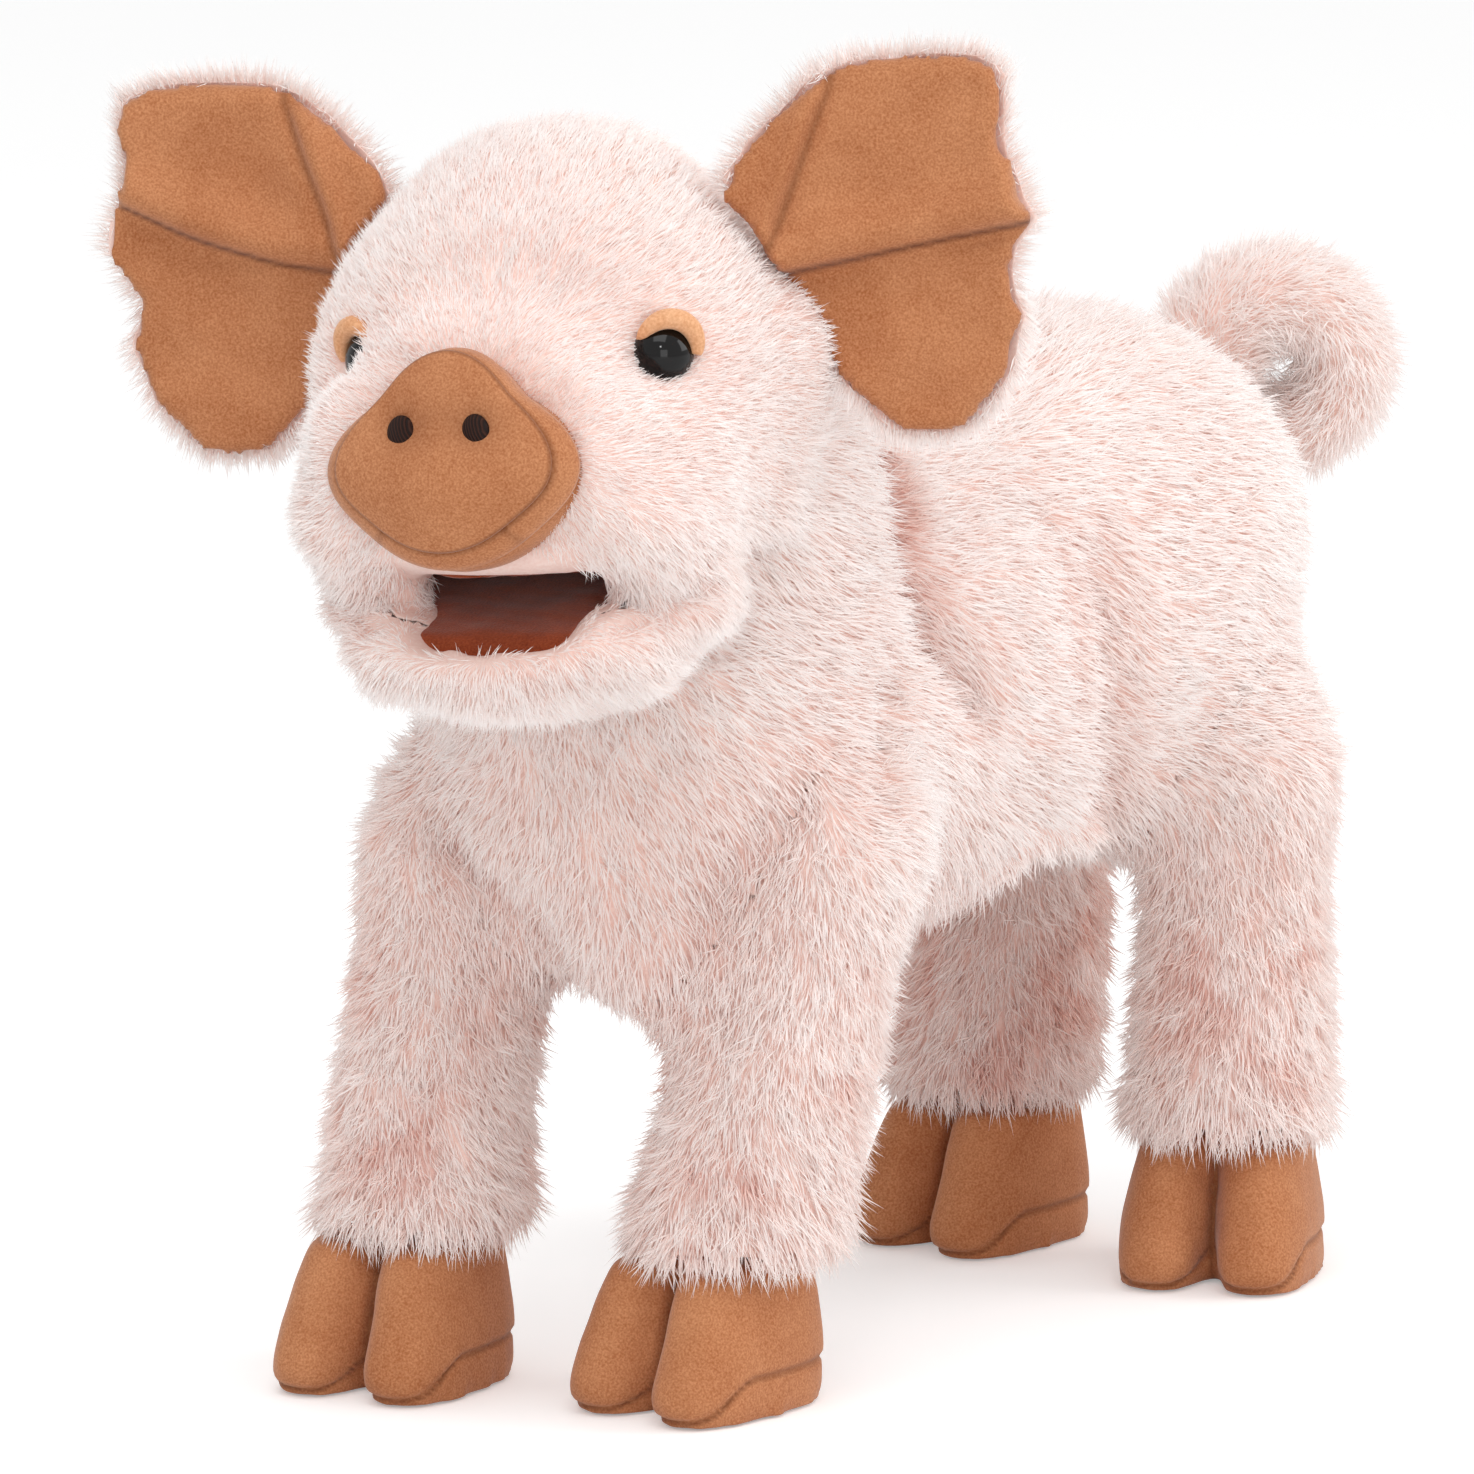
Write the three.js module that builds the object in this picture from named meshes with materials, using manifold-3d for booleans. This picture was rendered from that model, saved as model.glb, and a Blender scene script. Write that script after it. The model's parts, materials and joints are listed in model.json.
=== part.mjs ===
// A piglet hand puppet: plush skin over stuffing, a hand sleeve up through the belly, a mouth worked by
// fingers and thumb, suede ears, snout and cloven hooves. Millimetres and degrees. It stands on z = 0 and
// faces -y, so its left side is +x, and it holds its head turned to its left with the mouth open.
import * as THREE from 'three';
import { mergeVertices } from 'three/addons/utils/BufferGeometryUtils.js';
import Module from 'manifold-3d';

const wasm = await Module();
wasm.setup();

// Cloths and the air between pieces
const clearance = 0.4;
const runningGap = 0.6;
const plushWall = 8;
const liningWall = 1.6;
const suedeWall = 2.4;

// Torso
const torsoLength = 266;
const torsoWidth = 116;
const torsoHeight = 134;
const torsoMiddle = 166;
const torsoFront = -98;

// Neck: a ball the head turns on
const neckY = -54;
const neckHeight = 203;
const neckRadius = 52;
const neckTilt = 22;
const neckOpening = 72;
const neckYaw = 18;

// Hand sleeve and its opening under the belly
const sleeveWidth = 72;
const sleeveMouthY = 52;
const hemThickness = 6;
const hemStand = 1.5;

// Head, measured from its own centre
const headReach = 42;
const headRise = 29;
const headWidth = 114;
const headHeight = 124;
const headLength = 118;
const headFront = -66;
const headRoll = 4;
const lipDrop = 31;
const cheekSize = 25;
const cheekSpread = 33;
const cheekForward = 31;
const cheekDrop = 12;

// Jaw
const jawWidth = 88;
const jawLength = 58;
const jawDepth = 29;
const jawHingeY = -12;
const jawOpen = 16;

// Hand pockets
const fingerPocketWidth = 60;
const fingerPocketHeight = 34;
const fingerRise = -5;
const thumbPocketWidth = 44;
const thumbPocketHeight = 14;
const thumbDrop = 11.5;

// Snout
const snoutWidth = 48;
const snoutHeight = 46;
const snoutDepth = 17;
const snoutFrontY = -77;
const snoutTilt = 6;
const snoutRise = 1;
const snoutTaper = 0.12;
const discCrown = 5;
const nostrilWidth = 5.4;
const nostrilHeight = 6.6;
const nostrilSpacing = 17;
const nostrilRise = 5;
const nostrilStand = 1.2;

// Eyes
const eyeSpacing = 73;
const eyeForward = 39;
const eyeRise = 17;
const eyeTurn = 40;
const eyeLift = 12;
const eyeDiameter = 14;
const eyeDome = 6;
const eyeFlange = 1.6;
const shankDiameter = 4;
const shankLength = 17;
const washerDiameter = 13;
const washerThickness = 2;
const lidThickness = 4;
const lidFrom = 10;

// Ears
const earRootX = 46;
const earRootForward = -3;
const earRootRise = 33;
const earSweepRight = -8;
const earSweepLeft = 14;
const earReach = 66;
const earHeight = 92;
const earPlush = 6;
const earCup = 7;
const earBorder = 4;
const earPleat = 3;

// Legs and hooves
const hipHeight = 122;
const legWidth = 44;
const cuffWidth = 49;
const thighWidth = 54;
const legFillHeight = 76;
const hoofLength = 52;
const hoofWidth = 47;
const hoofHeight = 34;
const hoofTopLength = 40;
const hoofTopWidth = 38;
const hoofSetBack = 5;
const soleThickness = 5;
const soleEase = 2;
const frontRight = { name: 'front_right', hipX: -44, hipY: -66, footX: -43, footY: -91, turn: 10 };
const frontLeft = { name: 'front_left', hipX: 46, hipY: -46, footX: 26, footY: -66, turn: 0 };
const hindRight = { name: 'hind_right', hipX: -33, hipY: 137, footX: -33, footY: 116, turn: 0 };
const hindLeft = { name: 'hind_left', hipX: 43, hipY: 120, footX: 39, footY: 119, turn: 24 };

// Tail curl
const tailInset = 4;
const tailRootHeight = 210;
const tailThickness = 22;
const tailTip = 14;
const curlRadius = 17;
const curlFacing = 38;
const curlDrift = 9;
const curlTurn = 300;

// How far each joint swings from rest
const legSwing = 15;
const earFlop = 20;
const tailWag = 20;
const jawClose = 14;
const jawDrop = 8;
const nodDown = 8;
const turnEachWay = 30;

const sideways = new THREE.Vector3(1, 0, 0);
const upright = new THREE.Vector3(0, 0, 1);
const rad = THREE.MathUtils.degToRad;

const plush = () => new THREE.MeshStandardMaterial({ color: '#f6e2da', roughness: 0.95, metalness: 0 });
const suede = () => new THREE.MeshStandardMaterial({ color: '#cb8756', roughness: 0.85, metalness: 0 });
const lidSuede = () => new THREE.MeshStandardMaterial({ color: '#dca273', roughness: 0.85, metalness: 0 });
const velour = () => new THREE.MeshStandardMaterial({ color: '#9a4a2c', roughness: 0.9, metalness: 0 });
const lining = () => new THREE.MeshStandardMaterial({ color: '#e9d3c8', roughness: 0.9, metalness: 0 });
const fibre = () => new THREE.MeshStandardMaterial({ color: '#f7f5f0', roughness: 1, metalness: 0 });
const eyeGloss = () => new THREE.MeshStandardMaterial({ color: '#15110f', roughness: 0.08, metalness: 0 });
const whitePlastic = () => new THREE.MeshStandardMaterial({ color: '#e8e6e0', roughness: 0.5, metalness: 0 });
const thread = () => new THREE.MeshStandardMaterial({ color: '#3a2016', roughness: 0.7, metalness: 0 });

// A closed geometry as a solid that can be joined and cut
function solid(geometry) {
  const bare = geometry.clone();
  bare.deleteAttribute('normal');
  bare.deleteAttribute('uv');
  const merged = mergeVertices(bare, 1e-3);
  const corners = merged.index.array;
  const triangles = [];
  for (let i = 0; i < corners.length; i += 3) {
    const [a, b, c] = [corners[i], corners[i + 1], corners[i + 2]];
    if (a !== b && b !== c && c !== a) triangles.push(a, b, c);
  }
  return new wasm.Manifold(new wasm.Mesh({
    numProp: 3,
    vertProperties: new Float32Array(merged.attributes.position.array),
    triVerts: new Uint32Array(triangles),
  }));
}

// Adds a finished solid to its group as a named piece
function piece(group, name, shape, material) {
  const mesh = shape.getMesh();
  const geometry = new THREE.BufferGeometry();
  geometry.setAttribute('position', new THREE.BufferAttribute(new Float32Array(mesh.vertProperties), 3));
  geometry.setIndex(new THREE.BufferAttribute(new Uint32Array(mesh.triVerts), 1));
  geometry.computeVertexNormals();
  const part = new THREE.Mesh(geometry, material);
  part.name = name;
  group.add(part);
}

// A solid shifted within its own frame
function shifted(shape, x, y, z) {
  return shape.transform(new THREE.Matrix4().makeTranslation(x, y, z).elements);
}

// A solid turned about an axis through the origin of its frame
function turned(shape, axis, degrees) {
  return shape.transform(new THREE.Matrix4().makeRotationAxis(axis, rad(degrees)).elements);
}

// A solid of one group, seen from another group
function moved(shape, from, to) {
  toy.updateMatrixWorld(true);
  return shape.transform(to.matrixWorld.clone().invert().multiply(from.matrixWorld).elements);
}

// What is left of a limb once its larger neighbour has its room at every swing of the limb
function trimmed(limb, neighbour, axis, swings) {
  return swings.reduce((rest, swing) => rest.subtract(turned(neighbour, axis, -swing)), limb);
}

// One coordinate on a smooth run through the stations
function smooth(before, from, to, after, t) {
  const slopeFrom = (to - before) / 2;
  const slopeTo = (after - from) / 2;
  const a = 2 * from - 2 * to + slopeFrom + slopeTo;
  const b = -3 * from + 3 * to - 2 * slopeFrom - slopeTo;
  return ((a * t + b) * t + slopeFrom) * t + from;
}

// The rings of a stuffed form: each station is [x, y, z, half width, half height]. A station with no width
// ends the form in a round cap, and any other end is flat.
function ringsThrough(stations, spanRings, capRings) {
  const rings = [];
  const last = stations.length - 1;
  const first = stations[0][3] === 0 ? 1 : 0;
  const final = stations[last][3] === 0 ? last - 1 : last;
  const cap = (tip, base, share) => base.map((value, axis) => {
    const angle = share * Math.PI / 2;
    return axis < 3 ? tip[axis] + (value - tip[axis]) * (1 - Math.cos(angle)) : value * Math.sin(angle);
  });
  for (let i = 1; first === 1 && i < capRings; i++) rings.push(cap(stations[0], stations[1], i / capRings));
  for (let s = first; s < final; s++) {
    const before = stations[Math.max(s - 1, first)];
    const after = stations[Math.min(s + 2, final)];
    for (let i = 0; i < spanRings; i++) {
      rings.push(stations[s].map((value, axis) =>
        smooth(before[axis], value, stations[s + 1][axis], after[axis], i / spanRings)));
    }
  }
  rings.push(stations[final]);
  for (let i = capRings - 1; final < last && i > 0; i--) {
    rings.push(cap(stations[last], stations[final], i / capRings));
  }
  return rings;
}

// A stuffed form: oval rings threaded along the stations. grow swells it evenly along its normals, or
// shrinks it if negative, square makes the ovals boxier, bend reshapes each point, and level keeps every ring
// square to one direction.
function stuffed(stations, options = {}) {
  const { sides = 16, spanRings = 2, capRings = 3, grow = 0 } = options;
  const { side = sideways, square = 1, bend, level } = options;
  const rings = ringsThrough(stations, spanRings, capRings);
  const centres = rings.map((ring) => new THREE.Vector3(ring[0], ring[1], ring[2]));
  const start = new THREE.Vector3(...stations[0].slice(0, 3));
  const end = new THREE.Vector3(...stations[stations.length - 1].slice(0, 3));
  const line = [start, ...centres, end];
  const spread = (value) => Math.sign(value) * Math.abs(value) ** square;
  const points = [];
  centres.forEach((centre, i) => {
    const ahead = level ?? line[i + 2].clone().sub(line[i]).normalize();
    const up = ahead.clone().cross(side).normalize();
    const across = up.clone().cross(ahead);
    for (let j = 0; j < sides; j++) {
      const angle = (j / sides) * 2 * Math.PI;
      points.push(centre.clone()
        .addScaledVector(across, rings[i][3] * spread(Math.cos(angle)))
        .addScaledVector(up, rings[i][4] * spread(Math.sin(angle))));
    }
  });
  points.push(start, end);
  const faces = [];
  for (let i = 0; i + 1 < rings.length; i++) {
    for (let j = 0; j < sides; j++) {
      const [a, b] = [i * sides + j, i * sides + (j + 1) % sides];
      faces.push(a, b, b + sides, a, b + sides, a + sides);
    }
  }
  const top = (rings.length - 1) * sides;
  for (let j = 0; j < sides; j++) {
    const next = (j + 1) % sides;
    faces.push(points.length - 2, next, j, points.length - 1, top + j, top + next);
  }
  if (bend) points.forEach(bend);
  const geometry = new THREE.BufferGeometry().setFromPoints(points);
  geometry.setIndex(faces);
  geometry.computeVertexNormals();
  const { position, normal } = geometry.attributes;
  for (let i = 0; i < position.count; i++) {
    position.setXYZ(i, position.getX(i) + grow * normal.getX(i), position.getY(i) + grow * normal.getY(i),
      position.getZ(i) + grow * normal.getZ(i));
  }
  return solid(geometry);
}

function ball(radius, detail = 18) {
  return solid(new THREE.SphereGeometry(radius, detail, detail / 2));
}

// A faceted ball whose flats, not its corners, lie at the radius, as room for another ball to turn in
function ballRoom(radius, detail = 18) {
  return ball(radius / Math.cos(Math.PI / detail) ** 2, detail);
}

function block(width, length, height) {
  return solid(new THREE.BoxGeometry(width, length, height));
}

// A solid turned on an axis, from [radius, distance along] points; the axis lies along -y
function revolved(profile, segments = 18) {
  const points = profile.map(([radius, along]) => new THREE.Vector2(radius, along));
  return solid(new THREE.LatheGeometry(points, segments).rotateX(Math.PI));
}

const toy = new THREE.Group();

// Torso: rump, barrel and chest as shares of its length, width and height, with the belly line rising behind
const torsoProfile = [
  [1, 0.04, 0, 0],
  [0.925, 0.04, 0.74, 0.74],
  [0.81, 0.03, 0.98, 0.95],
  [0.63, 0.015, 1, 0.97],
  [0.43, -0.02, 0.97, 1],
  [0.22, -0.075, 0.99, 1],
  [0.08, -0.11, 0.84, 0.84],
  [0, -0.13, 0, 0],
];
const torsoStations = torsoProfile.map(([along, rise, wide, high]) =>
  [0, torsoFront + along * torsoLength, torsoMiddle + rise * torsoHeight, wide * torsoWidth / 2,
    high * torsoHeight / 2]);
const neckAxis = new THREE.Vector3(0, -Math.cos(rad(neckTilt)), Math.sin(rad(neckTilt)));

function barrelForm(grow) {
  return stuffed(torsoStations, { sides: grow < 0 ? 14 : 20, grow, square: 0.92 });
}

const atNeck = (shape) => shifted(shape, 0, neckY, neckHeight);

// A rod from the neck's centre out through the throat, for the way from the sleeve into the head
function neckWay(diameter) {
  const reach = neckRadius * 2;
  const rod = solid(new THREE.CylinderGeometry(diameter / 2, diameter / 2, reach, 18));
  const out = new THREE.Quaternion().setFromUnitVectors(new THREE.Vector3(0, 1, 0), neckAxis);
  const middle = new THREE.Vector3(0, neckY, neckHeight).addScaledVector(neckAxis, reach / 2);
  return rod.transform(new THREE.Matrix4().compose(middle, out, new THREE.Vector3(1, 1, 1)).elements);
}

// The sleeve climbs from its mouth under the belly and bends forward into the neck
const bellyHeight = torsoMiddle - torsoHeight / 2;
const sleeveRadius = sleeveWidth / 2;
const sleeveStations = [
  [0, sleeveMouthY, bellyHeight - sleeveRadius, sleeveRadius, sleeveRadius],
  [0, sleeveMouthY, bellyHeight + plushWall, sleeveRadius, sleeveRadius],
  [0, (2 * sleeveMouthY + neckY) / 3, torsoMiddle - plushWall, sleeveRadius, sleeveRadius],
  [0, (sleeveMouthY + 2 * neckY) / 3, torsoMiddle + plushWall, sleeveRadius, sleeveRadius],
  [0, neckY, neckHeight, sleeveRadius, sleeveRadius],
];

function sleeveForm(grow) {
  return stuffed(sleeveStations, { grow, sides: 14 });
}

const torso = new THREE.Group();
toy.add(torso);
const neckInside = atNeck(ballRoom(neckRadius - plushWall));
const bellyRoom = shifted(block(torsoWidth, torsoLength, torsoHeight), 0, sleeveMouthY, bellyHeight);
const hemRoom = sleeveForm(hemThickness + clearance).intersect(bellyRoom);

// The barrel is a back and a belly panel sewn along the flanks, and the collar stands on both
const flanks = barrelForm(0).subtract(barrelForm(-plushWall)).subtract(neckInside).subtract(hemRoom);
const halfRoom = block(2 * torsoWidth, 2 * torsoLength, 2 * torsoHeight - clearance);
piece(torso, 'back_panel', flanks.intersect(shifted(halfRoom, 0, 0, torsoMiddle + torsoHeight)), plush());
piece(torso, 'belly_panel', flanks.intersect(shifted(halfRoom, 0, 0, torsoMiddle - torsoHeight)), plush());
piece(torso, 'neck_collar', atNeck(ball(neckRadius)).subtract(neckInside).subtract(barrelForm(clearance))
  .subtract(neckWay(neckOpening)), plush());
const torsoInside = barrelForm(-plushWall - clearance).subtract(neckInside);
piece(torso, 'torso_stuffing', torsoInside.subtract(sleeveForm(liningWall + clearance)), fibre());
// The sleeve is a wrist tube sewn to a palm tube
const sleeveSeam = torsoMiddle - plushWall;
const tube = sleeveForm(liningWall).subtract(sleeveForm(0)).intersect(torsoInside);
piece(torso, 'sleeve_wrist', tube.intersect(shifted(halfRoom, 0, 0, sleeveSeam - torsoHeight)), lining());
piece(torso, 'sleeve_palm', tube.intersect(shifted(halfRoom, 0, 0, sleeveSeam + torsoHeight)), lining());
piece(torso, 'sleeve_hem', sleeveForm(hemThickness).subtract(sleeveForm(0)).intersect(barrelForm(hemStand))
  .intersect(bellyRoom).subtract(barrelForm(-plushWall)), lining());

// Neck: a lining band that turns inside the ball, from its widest ring to the throat
const neck = new THREE.Group();
neck.position.set(0, neckY, neckHeight);
neck.rotation.z = rad(neckYaw);
toy.add(neck);
const bandOuter = neckRadius - plushWall - clearance;
const bandPoints = [];
const bandSteps = 5;
const bandFront = Math.asin(neckOpening / 2 / neckRadius);
const bandBack = Math.PI / 2;
for (let i = 0; i <= bandSteps; i++) {
  const angle = bandBack + (bandFront - bandBack) * i / bandSteps;
  bandPoints.push([bandOuter * Math.sin(angle), bandOuter * Math.cos(angle)]);
}
for (let i = bandSteps; i >= 0; i--) {
  const angle = bandBack + (bandFront - bandBack) * i / bandSteps;
  const inner = bandOuter - liningWall;
  bandPoints.push([inner * Math.sin(angle), inner * Math.cos(angle)]);
}
bandPoints.push(bandPoints[0]);
piece(neck, 'neck_lining', turned(revolved(bandPoints), sideways, -neckTilt), lining());

// Head: a skull frame centred in the head, which nods and turns on the neck ball
const head = new THREE.Group();
head.rotation.y = rad(-headRoll);
neck.add(head);
const skull = new THREE.Group();
skull.position.set(0, -headReach, headRise);
head.add(skull);
const headProfile = [
  [1, 0, 0, 0],
  [0.85, 0.03, 0.77, 0.78],
  [0.63, 0.015, 0.98, 1],
  [0.41, -0.01, 1, 0.94],
  [0.22, -0.06, 0.8, 0.71],
  [0.07, -0.055, 0.6, 0.5],
  [0, -0.05, 0, 0],
];
const headStations = headProfile.map(([along, rise, wide, high]) =>
  [0, headFront + along * headLength, rise * headHeight, wide * headWidth / 2, high * headHeight / 2]);

function headForm(grow) {
  const cheek = ball(cheekSize + grow, grow < 0 ? 10 : 14);
  return stuffed(headStations, { sides: grow < 0 ? 14 : 20, grow })
    .add(shifted(cheek, cheekSpread, -cheekForward, -cheekDrop))
    .add(shifted(cheek, -cheekSpread, -cheekForward, -cheekDrop));
}

const beyond = 4 * headLength;
const belowLip = (drop) => shifted(block(beyond, beyond, beyond), 0, 0, -drop - beyond / 2);

// Snout: a suede band with a crowned disc sewn across its front
const snout = new THREE.Group();
snout.position.set(0, snoutFrontY + snoutDepth, snoutRise);
snout.rotation.x = rad(-snoutTilt);
skull.add(snout);
const taperUp = (point) => {
  point.x *= 1 - snoutTaper * point.z / (snoutHeight / 2);
};

function snoutForm(grow, back, front) {
  const stations = [
    [0, back, 0, snoutWidth / 2, snoutHeight / 2],
    [0, front, 0, snoutWidth / 2, snoutHeight / 2],
  ];
  return stuffed(stations, { grow, bend: taperUp, spanRings: 1, square: 0.85 });
}

const snoutRoot = snoutDepth / 2;
const overshoot = 2 * suedeWall;
piece(snout, 'snout_band', snoutForm(0, snoutRoot, -snoutDepth)
  .subtract(snoutForm(-suedeWall, snoutRoot + overshoot, -snoutDepth - overshoot)), suede());
piece(snout, 'snout_stuffing', snoutForm(-suedeWall - clearance, snoutRoot, -snoutDepth), fibre());
const discBack = -snoutDepth - clearance;
const nostrilBack = discBack - discCrown + nostrilStand;
const nostrilForm = (side, grow) => shifted(stuffed([
  [0, 0, 0, 0, 0],
  [0, -nostrilStand, 0, nostrilWidth / 2, nostrilHeight / 2],
  [0, -nostrilStand * 2, 0, 0, 0],
], { sides: 12, spanRings: 1, grow }), side * nostrilSpacing / 2, nostrilBack, nostrilRise);
const discStations = [
  [0, discBack, 0, snoutWidth / 2, snoutHeight / 2],
  [0, discBack - discCrown * 0.6, 0, snoutWidth / 2, snoutHeight / 2],
  [0, discBack - discCrown, 0, 0, 0],
];
let disc = stuffed(discStations, { bend: taperUp, spanRings: 1, capRings: 4, square: 0.85 });
for (const [name, side] of [['nostril_right', -1], ['nostril_left', 1]]) {
  disc = disc.subtract(nostrilForm(side, clearance));
  piece(snout, name, nostrilForm(side, 0), thread());
}
piece(snout, 'snout_disc', disc, suede());
const snoutRoom = moved(snoutForm(clearance, snoutRoot, -2 * snoutDepth), snout, skull);

// Eyes: a glossy dome on a shank, pushed through the skin into a washer, under a rolled lid
const eyeSeats = [];
const washerRooms = [];
for (const [name, side] of [['right', -1], ['left', 1]]) {
  const eye = new THREE.Group();
  eye.position.set(side * eyeSpacing / 2, -eyeForward, eyeRise);
  eye.rotation.set(rad(-eyeLift), 0, rad(side * eyeTurn), 'ZXY');
  skull.add(eye);
  const eyeForm = (grow) => {
    const points = [[0, -shankLength - grow], [shankDiameter / 2 + grow, -shankLength - grow],
      [shankDiameter / 2 + grow, -eyeFlange - grow], [eyeDiameter / 2 + grow, -eyeFlange - grow]];
    for (let i = 0; i <= 4; i++) {
      const angle = i / 4 * Math.PI / 2;
      points.push([(eyeDiameter / 2 + grow) * Math.cos(angle), (eyeDome + grow) * Math.sin(angle)]);
    }
    return revolved(points, 14);
  };
  const washerBack = -plushWall - washerThickness;
  const [bore, rim] = [shankDiameter / 2 + clearance, washerDiameter / 2];
  const washer = revolved([[bore, washerBack - washerThickness], [rim, washerBack - washerThickness],
    [rim, washerBack], [bore, washerBack], [bore, washerBack - washerThickness]], 14);
  const lidRadius = eyeDiameter / 2 + clearance + lidThickness / 2;
  const lidStations = [];
  for (let i = 0; i <= 8; i++) {
    const angle = rad(lidFrom + (180 - 2 * lidFrom) * i / 8);
    const end = i === 0 || i === 8;
    lidStations.push([lidRadius * Math.cos(angle), -eyeFlange, lidRadius * Math.sin(angle),
      end ? 0 : lidThickness / 2, end ? 0 : lidThickness / 2]);
  }
  const lidForm = (grow) => stuffed(lidStations, { sides: 6, spanRings: 1, capRings: 2, grow,
    side: new THREE.Vector3(0, 1, 0) });
  const rod = (radius, back, front) => revolved([[0, back], [radius, back], [radius, front], [0, front]], 14);
  const seat = rod(eyeDiameter / 2 + clearance, -eyeFlange - clearance, plushWall).add(lidForm(clearance))
    .add(rod(shankDiameter / 2 + clearance, -shankLength - clearance, 0));
  const washerRoom = rod(washerDiameter / 2 + clearance, washerBack - washerThickness - clearance,
    washerBack + clearance);
  eyeSeats.push(moved(seat, eye, skull));
  washerRooms.push(moved(washerRoom, eye, skull));
  piece(eye, `eye_${name}`, eyeForm(0), eyeGloss());
  piece(eye, `eye_washer_${name}`, washer, whitePlastic());
  piece(eye, `eyelid_${name}`, lidForm(0), lidSuede());
}

// Head skin, palate, finger pocket and the stuffing round it
const fingerStations = [
  [0, headReach, -headRise / 2, fingerPocketWidth / 2, fingerPocketHeight / 2],
  [0, 0, fingerRise, fingerPocketWidth / 2, fingerPocketHeight / 2],
  [0, headFront / 2, fingerRise, fingerPocketWidth / 2, fingerPocketHeight / 2.4],
  [0, headFront + snoutDepth + plushWall, fingerRise, 0, 0],
];
const fingerForm = (grow) => stuffed(fingerStations, { grow, sides: 12, spanRings: 1 });
const neckSeat = shifted(ballRoom(neckRadius + runningGap), 0, headReach, -headRise);
const headInside = headForm(-plushWall - clearance).subtract(neckSeat).subtract(snoutRoom);
piece(skull, 'head_skin', eyeSeats.reduce((rest, seat) => rest.subtract(seat),
  headForm(0).subtract(headForm(-plushWall)).subtract(belowLip(lipDrop)).subtract(neckSeat)
    .subtract(snoutRoom)), plush());
const palateTop = lipDrop - liningWall;
piece(skull, 'palate_lining', headInside.subtract(belowLip(lipDrop)).intersect(belowLip(palateTop)),
  velour());
const aboveLip = headInside.subtract(belowLip(palateTop - clearance));
piece(skull, 'finger_pocket', fingerForm(liningWall).subtract(fingerForm(0)).intersect(aboveLip), lining());
piece(skull, 'head_stuffing', [...eyeSeats, ...washerRooms].reduce((rest, room) => rest.subtract(room),
  aboveLip.subtract(fingerForm(liningWall + clearance))), fibre());

// Lower jaw: a scoop of plush hinged at the corners of the mouth
const jaw = new THREE.Group();
jaw.position.set(0, jawHingeY, -lipDrop);
jaw.rotation.x = rad(jawOpen);
skull.add(jaw);
const jawStations = [
  [0, jawLength / 3, 0, 0, 0],
  [0, 0, 0, jawWidth / 2, jawDepth],
  [0, -jawLength / 2, 0, jawWidth / 2, jawDepth],
  [0, -jawLength * 0.8, 0, jawWidth / 2.6, jawDepth / 1.4],
  [0, -jawLength, 0, 0, 0],
];
const jawForm = (grow) => stuffed(jawStations, grow < 0 ? { grow, sides: 14, spanRings: 1 } : { sides: 20 });
const lipBlock = shifted(block(beyond, beyond, beyond), 0, 0, beyond / 2 - clearance);
const jawSwings = [-jawClose, -jawClose / 2, 0, jawDrop / 2, jawDrop];
const neckFromJaw = moved(neckSeat, skull, jaw);
// The chest as the jaw meets it with the head turned and nodded and the mouth open wide
const chestFromJaw = (turn) => {
  neck.rotation.z = rad(turn);
  head.rotation.x = rad(nodDown);
  jaw.rotation.x = rad(jawOpen + jawDrop);
  const chest = moved(barrelForm(runningGap), torso, jaw);
  neck.rotation.z = rad(neckYaw);
  head.rotation.x = 0;
  jaw.rotation.x = rad(jawOpen);
  return chest;
};
// The mouth shuts flat, and the jaw clears the palate, the neck and the chest at every opening
const jawTrim = (shape) => trimmed(shape, neckFromJaw, sideways, jawSwings).subtract(lipBlock)
  .subtract(turned(lipBlock, sideways, -jawOpen - jawDrop));
const chestRoom = [-turnEachWay, 0, neckYaw, turnEachWay].map(chestFromJaw)
  .reduce((all, chest) => all.add(chest));
const jawInside = jawTrim(jawForm(-plushWall - clearance)).subtract(chestRoom);
piece(jaw, 'jaw_skin', jawTrim(jawForm(0).subtract(jawForm(-plushWall))).subtract(chestRoom), plush());
const liningFloor = shifted(lipBlock, 0, 0, -liningWall);
piece(jaw, 'jaw_lining', jawInside.intersect(liningFloor), velour());
const thumbStations = [
  [0, jawLength / 2, -thumbDrop, thumbPocketWidth / 2, thumbPocketHeight / 2],
  [0, -jawLength / 2, -thumbDrop, thumbPocketWidth / 2, thumbPocketHeight / 2],
  [0, -jawLength + plushWall + clearance, -thumbDrop, 0, 0],
];
const thumbForm = (grow) => stuffed(thumbStations, { grow, sides: 10, spanRings: 1 });
const underLining = jawInside.subtract(shifted(liningFloor, 0, 0, -clearance));
piece(jaw, 'thumb_pocket', thumbForm(liningWall).subtract(thumbForm(0)).intersect(underLining), lining());

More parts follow.
